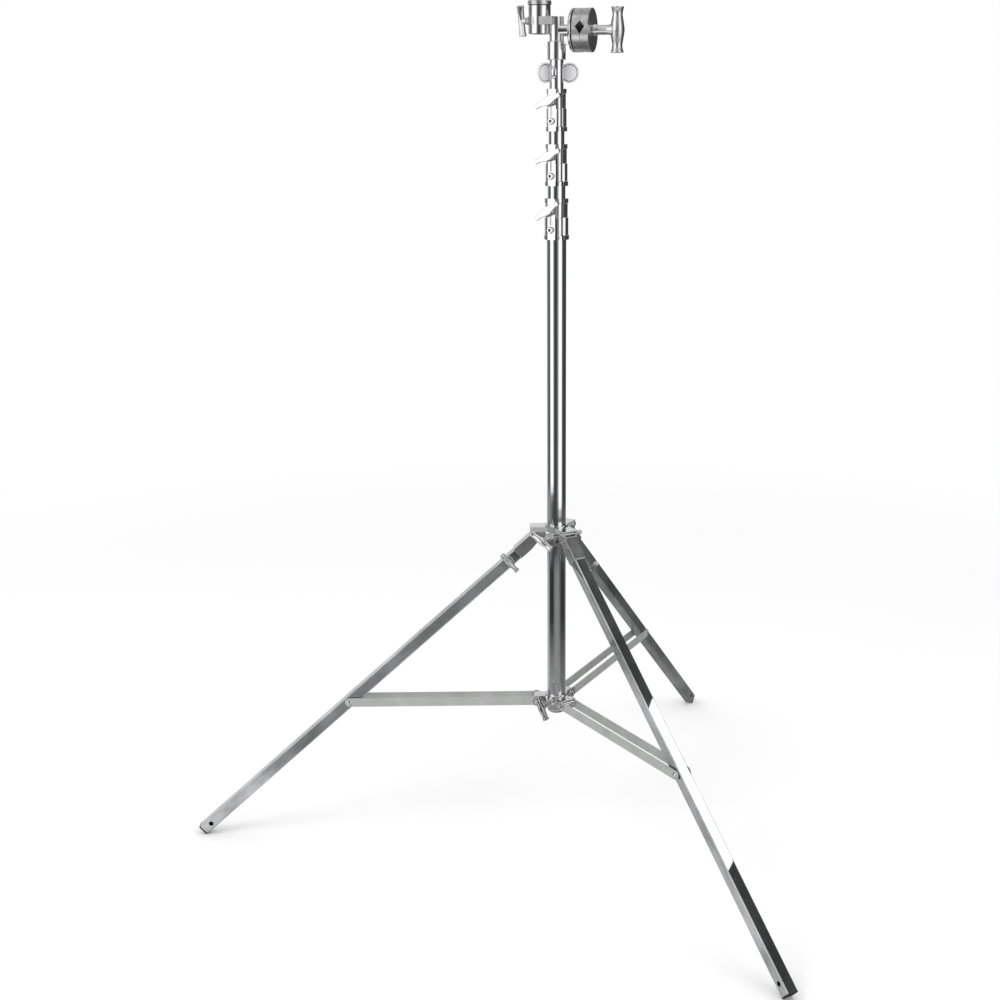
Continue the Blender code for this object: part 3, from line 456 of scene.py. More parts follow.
def started(name, metallic, on_grain=True):
    """A new material, its node tree and the point that its patterns follow."""
    made = bpy.data.materials.new(name)
    made.use_nodes = True
    nodes = Nodes(made.node_tree)
    made.node_tree.nodes["Principled BSDF"].inputs["Metallic"].default_value = metallic
    if on_grain:
        where = nodes.new("ShaderNodeAttribute", attribute_name="grain").outputs["Vector"]
    else:
        where = nodes.new("ShaderNodeTexCoord").outputs["Object"]
    return made, nodes, where


def shades(colour, darker):
    return tuple(c * (1 - darker) for c in colour), tuple(colour)


def chrome(name, colour, haze, wave=0.25, mottle=0.0):
    """Bright plating: wavy in its large reflections, with faint handling marks that dull it in patches."""
    made, nodes, where = started(name, 1.0)
    smudge = nodes.noise(where, 14.0, detail=4.0, roughness=0.6)
    fine = nodes.noise(where, 900.0, (1, 1, 0.03), detail=2.0)
    marks = nodes.between(smudge, 0.52, 0.72, smooth=True)
    dull, bright = shades(colour, 0.07)
    plain = nodes.blend(marks, bright, dull)
    if mottle:
        cloud = nodes.noise(where, 7.0, (0.6, 1, 1), detail=5.0, roughness=0.65)
        plain = nodes.blend(nodes.between(cloud, 0.40, 0.66, 0.0, mottle), plain, (0.0, 0.0, 0.0))
    wear = nodes.between(marks, 0, 1, haze, haze + 0.04)
    swell = nodes.bump(nodes.noise(where, 30.0, detail=1.0), wave, 0.0002)
    normal = nodes.bump(fine, wave / 6, 0.0001, swell)
    nodes.surface(plain, nodes.math("MULTIPLY_ADD", fine, haze / 2, wear), normal)
    return made


def cast_plate(name, colour, haze, on_grain=True):
    """Plated castings: bright on top of a faintly pitted skin, and duller in patches."""
    made, nodes, where = started(name, 1.0, on_grain)
    pits = nodes.noise(where, 420.0, roughness=0.6)
    patches = nodes.noise(where, 45.0)
    tone = nodes.blend(nodes.between(patches, 0.35, 0.65), *shades(colour, 0.10))
    normal = nodes.bump(pits, 0.12, 0.0001, nodes.bump(patches, 0.25, 0.0003))
    nodes.surface(tone, nodes.between(patches, 0.3, 0.7, haze + 0.05, haze), normal)
    return made


def zinc_plate(name, colour, haze, metallic, on_grain=True):
    """Satin zinc: fine streaks along the rolled strip, and cloudy patches."""
    made, nodes, where = started(name, metallic, on_grain)
    cloud = nodes.noise(where, 22.0, detail=5.0, roughness=0.6)
    streak = nodes.noise(where, 700.0, (0.04, 1, 1), detail=2.0)
    level = nodes.math("MULTIPLY_ADD", streak, 0.35, nodes.math("MULTIPLY", cloud, 0.75))
    tone = nodes.blend(nodes.between(level, 0.38, 0.72), *shades(colour, 0.20))
    roughness = nodes.between(cloud, 0.3, 0.7, haze + 0.08, haze - 0.05)
    nodes.surface(tone, roughness, nodes.bump(streak, 0.12, 0.0001))
    return made


def machined(name, colour, haze):
    """Turned steel about the local X: fine rings on the faces, and lines round the rim."""
    made, nodes, where = started(name, 1.0)
    x, y, z = nodes.parts(where)
    rings = nodes.filled(nodes.new("ShaderNodeCombineXYZ"), x, nodes.length(y, z))
    lines = nodes.noise(rings, 2600.0, detail=2.0)
    stain = nodes.noise(where, 60.0, detail=5.0, roughness=0.65)
    level = nodes.math("MULTIPLY_ADD", lines, 0.45, nodes.math("MULTIPLY", stain, 0.6))
    tone = nodes.blend(nodes.between(level, 0.36, 0.66), *shades(colour, 0.34))
    roughness = nodes.between(stain, 0.3, 0.7, haze + 0.10, haze - 0.04)
    nodes.surface(tone, roughness, nodes.bump(lines, 0.22, 0.0001))
    return made


def moulded(name, colour, haze, grain_size, on_grain=True):
    """Moulded rubber, nylon and pressed pad: a fine grain, scuffed lighter in places."""
    made, nodes, where = started(name, 0.0, on_grain)
    grain = nodes.noise(where, grain_size, roughness=0.7)
    scuff = nodes.noise(where, 55.0, detail=4.0)
    lighter = [min(1.0, c * 1.5 + 0.01) for c in colour]
    tone = nodes.blend(nodes.between(scuff, 0.5, 0.75), colour, lighter)
    nodes.surface(tone, nodes.between(grain, 0.3, 0.7, haze, haze + 0.12), nodes.bump(grain, 0.3, 0.0002))
    return made


# Each finish: its maker, its colour among the settings, the share of that colour, and the maker's own numbers
FINISHES = {
    "tube chrome": (chrome, "chrome", 1, 0.035),
    "leg chrome": (chrome, "chrome", 1, 0.0, 0.03, 0.5),
    "turned plating": (chrome, "nickel", 1, 0.22),
    "plated collar": (cast_plate, "nickel", 1, 0.05),
    "plated casting": (cast_plate, "nickel", 1, 0.10),
    "plated sheet": (cast_plate, "nickel", 1, 0.12),
    "plated handle": (cast_plate, "nickel", 1, 0.07),
    "rough casting": (cast_plate, "nickel", 0.85, 0.32),
    # Nickel at 0.62 of its colour, as painted shade on the base cup and the lower hub's handle
    "worn plating": (cast_plate, "nickel", 0.62, 0.16),
    # Nickel at 0.18 of its colour, as painted shade in the slots, the socket recesses and the grooves
    "shaded recess": (cast_plate, "nickel", 0.18, 0.4),
    "plain steel": (cast_plate, "steel", 1, 0.25, False),
    # On the upper hub it covers the lugs' tops as painted light, lighter than the plated sheet below
    "satin sheet": (zinc_plate, "zinc", 1, 0.36, 0.6),
    "satin zinc": (zinc_plate, "zinc", 1, 0.40, 0.6),
    "plain zinc": (zinc_plate, "zinc", 1, 0.40, 0.6, False),
    "satin ear": (zinc_plate, "ear", 1, 0.5, 0.0),
    # The rim bead's colour is lifted to white as a painted highlight, with a smoother, more metallic finish
    "ear rim": (zinc_plate, "ear", 1.5, 0.3, 0.3),
    "machined steel": (machined, "steel", 1, 0.28),
    "black rubber": (moulded, "rubber", 1, 0.5, 900.0),
    "plain nylon": (moulded, "nylon", 1, 0.45, 600.0, False),
}


def finish(kind):
    """The material of one finish, made on its first use."""
    found = bpy.data.materials.get(kind)
    if found:
        return found
    maker, colour, share, *numbers = FINISHES[kind]
    levels = getattr(bpy.context.scene.stand_finishes, colour)
    return maker(kind, [min(1.0, level * share) for level in levels], *numbers)


# Settings that a user can change


def length(name, description, default):
    return FloatProperty(
        name=name, description=description, default=default, min=0.0, unit="LENGTH", precision=5
    )


def angle(name, description, default):
    return FloatProperty(name=name, description=description, default=math.radians(default), unit="ROTATION")


def colour(name, description, default):
    return FloatVectorProperty(
        name=name, description=description, default=default, min=0.0, max=1.0, size=3, subtype="COLOR"
    )


class StandMastSizes(bpy.types.PropertyGroup):
    """Sizes of the mast, its collars and the clamp handles"""

    base_od: length("Base tube", "Outside diameter of the base tube", BASE_DIAMETER)
    riser_step: length("Riser step", "How much narrower each riser is than the tube below", RISER_STEP)
    tube_wall: length("Tube wall", "Wall of the mast's tubes", 0.002)
    collar_wall: length("Collar wall", "Wall of a collar outside the tube that it holds", 0.0052)
    collar_drop: length("Collar step", "How far below its top a collar steps out", 0.048)
    collar_lip: length("Collar lip", "Height of the raised band at a collar's ends", 0.011)
    pad_width: length("Pad width", "Width of the flat pad that carries a collar's screws", 0.021)
    wing_half: length("Wing length", "Half the length of a collar's handle", 0.037)
    shank: length("Screw radius", "Radius of the clamp screws", 0.005)


class StandLegSizes(bpy.types.PropertyGroup):
    """Sizes of the legs, braces and hubs"""

    leg_size: length("Leg", "Outside width of the square legs", 0.030)
    leg_wall: length("Leg wall", "Wall of the legs", 0.002)
    leg_corner: length("Leg corner", "Radius of the legs' rounded corners", 0.0026)
    leg_spread: angle("Leg spread", "Angle of the open legs from the vertical", 48.0)
    pin_rise: length("Pin rise", "Distance of the hinge pin above a leg's upper face", 0.0056)
    bracket_wall: length("Bracket wall", "Sheet thickness of the leg brackets", 0.0025)
    brace_height: length("Brace", "Height of the flat brace bars", 0.025)
    brace_gauge: length("Brace thickness", "Thickness of the flat brace bars", 0.003)
    brace_offset: length("Brace offset", "Distance of a brace bar from the middle of its leg", 0.0195)
    brace_on_leg: length("Brace pivot", "Distance of a brace's pivot down its leg", 0.702)
    hub_radius: length("Hub radius", "Outside radius of the two hubs' rings", 0.031)
    bolt_radius: length("Pivot radius", "Radius of the hinge pins and pivot bolts", 0.004)


class StandHeadSizes(bpy.types.PropertyGroup):
    """Sizes of the head, the receiver and the grip"""

    grip_radius: length("Grip radius", "Radius of the grip head's discs", GRIP_DIAMETER / 2)
    groove_half: length("Groove", "Half the diagonal of the square hole between the jaws", 0.012)
    groove_slope: angle("Groove slope", "Slope of the first groove across the jaws", 48.0)
    groove_exit: length("Groove exit", "Height of the first groove's mouth above the grip's middle", 0.0066)
    bore: length("Receiver bore", "Radius of the receiver's open socket", 0.0146)
    liner: length("Receiver liner", "Wall of the receiver's steel socket", 0.003)
    ear_radius: length("Ear radius", "Radius of the dished ears", 0.0245)


class StandFinishes(bpy.types.PropertyGroup):
    """Colours of the stand's finishes"""

    chrome: colour("Chrome", "Tubes, legs and bright turned pieces", (0.80, 0.81, 0.82))
    nickel: colour("Nickel", "Plated castings and handles", (0.80, 0.80, 0.80))
    zinc: colour("Zinc", "Satin brace bars", (0.64, 0.65, 0.64))
    steel: colour("Steel", "Jaws and stud", (0.74, 0.74, 0.74))
    ear: colour("Ear faces", "Dull faces of the dished ears", (0.90, 0.88, 0.90))
    rubber: colour("Black", "Foot plugs and friction disc", (0.012, 0.012, 0.013))
    nylon: colour("Nylon", "Guide plugs of the risers", (0.84, 0.84, 0.81))
    floor: colour("Floor", "Studio floor", (0.93, 0.93, 0.93))


def settings():
    scene = bpy.context.scene
    return scene.stand_mast, scene.stand_legs, scene.stand_head, scene.stand_finishes


# Pieces that several groups share


def brace_faces(legs):
    """Where a brace bar's two faces lie beside the middle of its leg."""
    return legs.brace_offset - legs.brace_gauge / 2, legs.brace_offset + legs.brace_gauge / 2


def handle(name, joint, tip, half, radii, tilt, facet=None, eye=0.0, kind="plated handle"):
    """A clamp handle on its joint: a cast bar across the end of a threaded screw.

    The tip is the screw end's distance from the mast's axis, or from a socket's axis that lies eye away.
    A facet cuts the bar flat across that vector's end.
    """
    shank = settings()[0].shank
    point = joint_point(joint)
    start = tip - ((point - MAST).xy.length - eye)
    end, waist, middle = radii
    line = [(end, -half + 0.0010), (end * 0.97, -half * 0.86), (waist, -half * 0.62), (middle, -half * 0.2)]
    line.append((middle * 1.03, 0))
    outline = [(0, -half), (end - 0.0012, -half), (end - 0.0003, -half + 0.0004), *flowing(line)]
    bar = turned(mirrored(outline), 48, "Y")
    if facet:
        if facet[0] > 0:
            bmesh.ops.scale(bar, vec=(0.8, 1, 1), verts=bar.verts)
        parts = bar.verts[:] + bar.edges[:] + bar.faces[:]
        across = Vector(facet).normalized()
        bmesh.ops.bisect_plane(bar, geom=parts, plane_co=facet, plane_no=across, clear_outer=True)
        rim = [edge for edge in bar.edges if edge.is_boundary]
        bmesh.ops.holes_fill(bar, edges=rim, sides=0)
        bmesh.ops.bevel(bar, geom=rim, offset=0.0007, segments=3, profile=0.5, affect="EDGES", material=-1)
    neck = turned([(0, -0.0115), (0.0075, -0.0115), (0.0068, -0.006), (0.0064, 0.0)], 40, "X")
    screw = [(0, start), (shank - 0.0008, start)]
    screw += threaded(start + 0.0008, -0.0125, shank) + [(shank - 0.0006, -0.008)]
    shape = added(bar, neck, turned(screw, 32, "X"))
    piece(name, shape, kind, placed(point, screw_azimuth(joint), 0, tilt))


def clamp(mast, joint, boss_end, low, high):
    """What a clamp ring gets for its screw: a boss, and the cutters of the ring's bore and the screw's hole."""
    at = placed((0, 0, joint_point(joint).z), screw_azimuth(joint))
    bore = rod(mast.base_od / 2 + GAP, low - 0.01, high + 0.01, 96)
    return moved(boss(0.0095, 0.020, boss_end), at), [bore, hole(mast.shank, 0.015, 0.06, at=at)]


def socket_screw(radius, base, top, recess):
    """The round head of a socket screw, with its six-sided recess."""
    outline = [(0, base), (radius, base), (radius, top - 0.0010), (radius - 0.0010, top), (0, top)]
    drilled = turned([(0, -recess), (recess, 0), (recess, 0.02)], 6)
    shape = carved(turned(outline, 40), cuts=[moved(drilled, placed((0, 0, top - 0.0028)))])
    return moved(shape, Matrix.Rotation(math.pi / 2, 4, "Y"))


# What the metal sees of the studio: pairs of degrees to the right of the camera, or up, and a brightness

BOX_LEVEL = 2.6
WALLS = [
    (-180, 0.20), (-164, 0.22), (-160, 0.75), (-146, 0.75), (-140, 0.30), (-126, 0.22), (-112, 0.13),
    (-92, 0.11), (-82, 0.18), (-74, 1.4), (-45, 1.4), (-35, 0.40), (-26, 0.08), (-4, 0.045),
    (4, 0.08), (11, 0.28), (22, 0.34), (31, 1.4), (59, 1.4), (69, 0.40), (79, 0.09),
    (98, 0.05), (124, 0.06), (152, 0.045), (166, 0.12), (180, 0.20),
]
UPPER_WALLS = [
    (-180, 0.80), (-132, 0.50), (-108, 0.18), (-90, 0.20), (-80, 1.4), (-38, 1.4), (-30, 0.60),
    (-22, 0.10), (2, 0.06), (12, 0.28), (22, 0.34), (31, 1.4), (61, 1.4), (72, 0.20),
    (90, 0.07), (140, 0.05), (158, 0.06), (168, 0.45), (180, 0.80),
]
BOX_SHADOW = [
    (-180, 0.36), (-110, 0.33), (-90, 0.27), (-65, 0.165), (-50, 0.10), (-40, 0.06), (0, 0.07),
    (12, 0.09), (22, 0.15), (40, 0.18), (50, 0.12), (65, 0.075), (90, 0.14), (120, 0.12),
    (180, 0.30),
]
SKIRTING = [
    (-180, 0.45), (-116, 0.50), (-104, 0.26), (-92, 0.07), (-84, 0.035), (-46, 0.035), (-36, 0.08),
    (-22, 0.22), (-8, 0.27), (34, 0.27), (46, 0.14), (58, 0.045), (84, 0.035), (104, 0.04),
    (116, 0.12), (140, 0.10), (180, 0.40),
]
FLOOR_ROUND = [
    (-180, 0.45), (-118, 0.55), (-104, 0.50), (-90, 0.31), (-60, 0.31), (20, 0.30), (60, 0.19),
    (118, 0.19), (180, 0.40),
]
NEAR_FLOOR = [
    (-180, 0.40), (-120, 0.60), (-100, 0.60), (-75, 1.1), (0, 1.1), (30, 0.90), (50, 0.30),
    (180, 0.36),
]
UNDERFOOT = 0.15
CEILING = [
    (-180, 0.60), (-120, 0.30), (-82, 0.30), (-74, 1.0), (-42, 1.0), (-34, 0.45), (24, 0.40),
    (31, 1.0), (61, 1.0), (70, 0.30), (130, 0.25), (180, 0.60),
]
BESIDE_LAMP = [(0, 0.22), (38, 0.22), (42, 0.06), (51, 0.08), (60, 0.12), (67, 1.2), (90, 1.2)]
# Where the strips of the room change over, in degrees up, and how far round it the lamp reaches
UPPER_WALLS_EDGE = (-2.0, 1.0)
CEILING_EDGE = (20.0, 27.0)
BOX_FOOT = (-15.4, -16.0)
SKIRTING_EDGE = (-17.4, -18.0)
FLOOR_EDGE = (-20.0, -22.5)
NEAR_FLOOR_EDGE = (-24.5, -28.0)
UNDERFOOT_EDGE = (-45.0, -60.0)
LAMP_SIDES = ((0.62, 0.66), (0.90, 0.86))
LAMP_EDGES = (45.62, 50.82)
LAMP_BLUR = 0.03
LAMP_LEVEL = 2.4

# Operators


class StandPiece:
    """What the operators share: each makes its pieces and reports how many."""

    bl_options = {"REGISTER", "UNDO"}

    def execute(self, context):
        before = len(bpy.data.objects)
        self.make(*settings())
        self.report({"INFO"}, f"{len(bpy.data.objects) - before} objects")
        return {"FINISHED"}


class STAND_OT_mast(StandPiece, bpy.types.Operator):
    """Makes the base tube with its bottom cap, and the three risers"""

    bl_idname = "stand.mast"
    bl_label = "Mast"

    def make(self, mast, legs, head, colours):
        rim = 0.0006
        for number, node in enumerate(("base_tube", "riser_1", "riser_2", "riser_3")):
            low, high = span(node, "z")
            outer = mast.base_od / 2 - mast.riser_step / 2 * number
            inner = outer - mast.tube_wall
            outline = [(inner, low), (outer, low), (outer, high - rim)]
            outline += [(outer - rim, high), (inner + rim, high), (inner, high - rim)]
            piece(node, turned(outline, 96, ring=True), "tube chrome", on_mast())
        low, high = span("base_plug", "z")
        outer = mast.base_od / 2
        inner = outer - mast.tube_wall - GAP
        flange, skirt, cup_round, drain = low + 0.006, outer + 0.0007, 0.0095, 0.006
        cup = [(drain, low + 0.0005), (drain + 0.0005, low)]
        cup += arc(skirt - cup_round, low + cup_round, cup_round, -90, 0, 14)
        cup += [(skirt, flange + 0.008), (outer + 0.0002, flange + 0.0085), (outer + 0.0002, flange)]
        cup += [(inner, flange), (inner, high - 0.001), (inner - 0.001, high), (drain, high)]
        # The bottom cap's plating is darkened as painted shade
        piece("base_plug", turned(cup, 96, ring=True), "worn plating", on_mast())
        for number in (1, 2, 3):
            dress(f"riser_plug_{number}", "plain nylon")


class STAND_OT_collars(StandPiece, bpy.types.Operator):
    """Makes the three clamp collars with their screws and wing handles"""

    bl_idname = "stand.collars"
    bl_label = "Collars"

    def make(self, mast, legs, head, colours):
        for number, tilt in enumerate(WING_TILTS, 1):
            self.collar(mast, number)
            tip = mast.base_od / 2 - mast.riser_step / 2 * number + 2 * GAP
            joint = f"collar_screw_turn_{number}"
            handle(f"collar_handle_{number}", joint, tip, mast.wing_half, WING_RADII, tilt, (0.0026, 0, 0))

    def collar(self, mast, number):
        low, high = span(f"collar_{number}", "z")
        step = high - mast.collar_drop
        held = mast.base_od / 2 - mast.riser_step / 2 * (number - 1)
        gripped = held - mast.riser_step / 2
        body = held + mast.collar_wall
        neck, proud, slope, lip = body - 0.00175, 0.0018, 0.0012, mast.collar_lip
        outline = [(held + GAP, low), (body + proud, low), (body + proud, low + lip), (body, low + lip + slope)]
        outline += [(body, step), (neck, step + slope), (neck, high - lip - slope), (neck + proud, high - lip)]
        outline += [(neck + proud, high), (gripped + GAP, high), (gripped + GAP, step), (held + GAP, step)]
        ring = turned(outline, 96, ring=True)
        face = body + 0.0025
        pad = self.pad(face, mast.pad_width / 2 + 0.0005, body - 0.006, low + 0.0006, high - 0.0006)
        at_fixed, at_clamp = placed((0, 0, low + FIXED_SCREW_RISE)), placed((0, 0, low + CLAMP_SCREW_RISE))
        back, front = body - 0.003, face + 0.003
        bosses = [moved(boss(0.0088, back, front), at_fixed), moved(boss(0.0085, back, front), at_clamp)]
        past = body + 0.02
        holes = [hole(0.0040, body - 0.02, past, at=at_fixed), hole(mast.shank, 0.012, past, at=at_clamp)]
        slot_azimuth, flat_azimuth, flat_reach = 56.5, 57.5, 18
        land = body * math.cos(math.radians(flat_reach))
        flat = block((land, -0.03, low + lip + 0.0014), (0.1, 0.03, step - 0.0002))
        below, above = low - 0.01, high + 0.01
        slot, floor, half = placed(azimuth=slot_azimuth), body - 0.0028, 0.0025
        beside = mast.pad_width / 2 + 0.0025
        holes += [
            moved(flat, placed(azimuth=flat_azimuth)),
            moved(block((floor, -half, below), (0.1, half, above)), slot),
            block((floor, beside, below), (0.1, beside + 0.0030, above)),
            moved(rod(0.004, low + 0.036, low + 0.063, 32), placed((face + 0.0034, 0, 0))),
        ]

        # The faces inside the slots get the dark recess finish, as painted shade
        def in_slot(point):
            there = slot.inverted() @ point
            if abs(there.y) < half + 0.0001 and floor - 0.0002 < there.x < body - 0.0002:
                return True
            return beside - 0.0001 < point.y < beside + 0.0031 and point.x > floor - 0.0002

        azimuth = screw_azimuth(f"collar_screw_turn_{number}")
        shape, shade = carved(ring, [pad, *bosses], holes), ("shaded recess", in_slot)
        piece(f"collar_{number}", shape, "plated collar", on_mast(0, azimuth), 0.0004, others=[shade])
        recess, top = 0.0044, face + 0.0065

        # The socket's recess gets the dark recess finish, as painted shade
        def in_recess(point):
            return point.yz.length < recess and body < point.x < top - 0.0002

        screw = socket_screw(0.0078, face + 0.003 + GAP, top, recess)
        shape = added(screw, rod(0.004, held + 2 * GAP, face + 0.0035, 32, "X"))
        place, shade = on_mast(low + FIXED_SCREW_RISE, azimuth), ("shaded recess", in_recess)
        piece(f"collar_screw_{number}", shape, "plated casting", place, others=[shade])

    def pad(self, face, half, inside, low, high):
        """The flat pad for the screws, a little wider on the side away from the handle's lower end."""
        narrow, wide, corner = half - 0.0018, half + 0.0020, 0.0006
        front = arc(face - corner, wide - corner, corner, 90, 0, 4)
        front += arc(face - corner, corner - narrow, corner, 0, -90, 4)
        return upright([(inside, wide), *front, (inside, -narrow)], low, high)


class STAND_OT_upper_hub(StandPiece, bpy.types.Operator):
    """Makes the upper hub with its hinge pins and clamp handle"""

    bl_idname = "stand.upper_hub"
    bl_label = "Upper Hub"

    def make(self, mast, legs, head, colours):
        low, top, reach, corner_azimuth = span("upper_hub", "z")[0], 0.887, 0.071, 257.3
        fold = top - 0.0135
        radius = legs.hub_radius
        lug_inner = legs.leg_size / 2 + GAP + legs.bracket_wall + GAP
        lug_outer = lug_inner + 0.0025
        barrel = moved(rod(radius, low, top - 0.006, 8), placed(azimuth=corner_azimuth))
        ring = turned([(radius, top - 0.010), (radius, top + 0.0025), (radius - 0.001, top + 0.0035)], 96)
        fork = [(0.020, low + 0.006), (0.050, low + 0.016), (reach, top - 0.019), (reach, fold), (0.020, fold)]
        joins, cuts = [ring], []
        for name in LEGS:
            azimuth = leg_azimuth(name)
            turn = placed(azimuth=azimuth)
            joins.append(moved(plate(fork, 0.0004 - lug_outer, lug_outer - 0.0004), turn))
            joins.append(moved(block((0.020, -lug_outer, fold), (reach + 0.0003, lug_outer, top)), turn))
            mouth = block((radius + 0.0006, -lug_inner, low - 0.01), (0.1, lug_inner, top - 0.0025))
            cuts.append(moved(mouth, turn))
            pin = joint_point(f"leg_hinge_{name}") - MAST
            cuts.append(hole(legs.bolt_radius, -0.04, 0.04, "Y", placed(pin, azimuth)))
            self.pin(legs, name, lug_outer, azimuth)
        screw_boss, clamp_cuts = clamp(mast, "upper_clamp_screw", 0.043, low, top)

        # The lugs above the fold get the satin sheet so that they show lighter than the plated sheet below, as
        # painted light on their upper part
        def in_painted_light_lug(point):
            return point.xy.length > radius + 0.0012 and point.z > fold - 0.0004

        shape = carved(barrel, [*joins, screw_boss], cuts + clamp_cuts)
        piece("upper_hub", shape, "plated sheet", on_mast(), 0.0006, others=[("satin sheet", in_painted_light_lug)])
        tip = mast.base_od / 2 + 2 * GAP
        handle("upper_hub_handle", "upper_clamp_screw", tip, 0.035, HUB_BAR_RADII, UPPER_HUB_TILT)

    def pin(self, legs, name, lug, azimuth):
        """A hinge pin with a flat head at one end and a round one on a neck at the other."""
        radius = legs.bolt_radius
        outline = [(0, -lug - 0.004), (0.0058, -lug - 0.004), (0.0065, -lug - 0.0033), (0.0065, -lug - GAP)]
        outline += [(radius, -lug - GAP), (radius, lug + 0.0100), *arc(0.0, lug + 0.0125, 0.0064, -52, 60, 12)]
        place = placed(joint_point(f"leg_hinge_{name}"), azimuth)
        piece(f"hinge_pin_{name}", turned(outline + [(0, lug + 0.0175)], 40, "Y"), "tube chrome", place)


class STAND_OT_lower_hub(StandPiece, bpy.types.Operator):
    """Makes the lower hub with its pivot bolts and clamp handle"""

    bl_idname = "stand.lower_hub"
    bl_label = "Lower Hub"

    def make(self, mast, legs, head, colours):
        low, high = 0.372, 0.404
        radius = legs.hub_radius
        inner, outer = brace_faces(legs)
        ring = [(radius - 0.0015, low), (radius, low + 0.0015), (radius, high - 0.002), (radius - 0.002, high)]
        joins, cuts = [], []
        for name in LEGS:
            azimuth = leg_azimuth(name)
            pivot = joint_point(f"brace_hinge_{name}") - MAST
            lug = plate(capsule(0.02, pivot.xy.length, 0.0125, pivot.z), -inner + 2 * GAP, inner - 2 * GAP)
            joins.append(moved(lug, placed(azimuth=azimuth)))
            cuts.append(hole(legs.bolt_radius, -0.03, 0.03, "Y", placed(pivot, azimuth)))
            self.bolt(legs, name, outer, azimuth)
        screw_boss, clamp_cuts = clamp(mast, "lower_clamp_screw", 0.045, low, high)
        shape = carved(turned(ring, 96), [*joins, screw_boss], cuts + clamp_cuts)
        piece("lower_hub", shape, "plated casting", on_mast(), 0.0005)
        tip = mast.base_od / 2 + 2 * GAP
        # The lower handle's plating is darkened as painted shade
        joint, kind = "lower_clamp_screw", "worn plating"
        handle("lower_hub_handle", joint, tip, 0.033, HUB_BAR_RADII, LOWER_HUB_TILT, kind=kind)

    def bolt(self, legs, name, outer, azimuth):
        """A pivot bolt with a large washer, a six-sided head and a domed cap at each end."""
        washer = [(0, outer + GAP), (0.0140, outer + GAP), (0.0145, outer + 0.0008), (0.0145, outer + 0.0014)]
        washer += [(0.0138, outer + 0.0020), (0, outer + 0.0020)]
        cap = [(0.0, 0.0290), (0.0056, 0.0284), (0.0060, 0.0276), (0, 0.0276)]
        ends = []
        for flip in (placed(), placed(tilt=180)):
            bolt_head = rod(0.0067, outer + 0.002, 0.0277, 6, "Y")
            for part in (turned(washer, 56, "Y"), bolt_head, turned(cap, 32, "Y")):
                ends.append(moved(part, flip))
        shape = added(rod(legs.bolt_radius, -outer, outer, 32, "Y"), *ends)
        place = placed(joint_point(f"brace_hinge_{name}"), azimuth)
        piece(f"brace_bolt_{name}", shape, "plated casting", place, 0.0003)


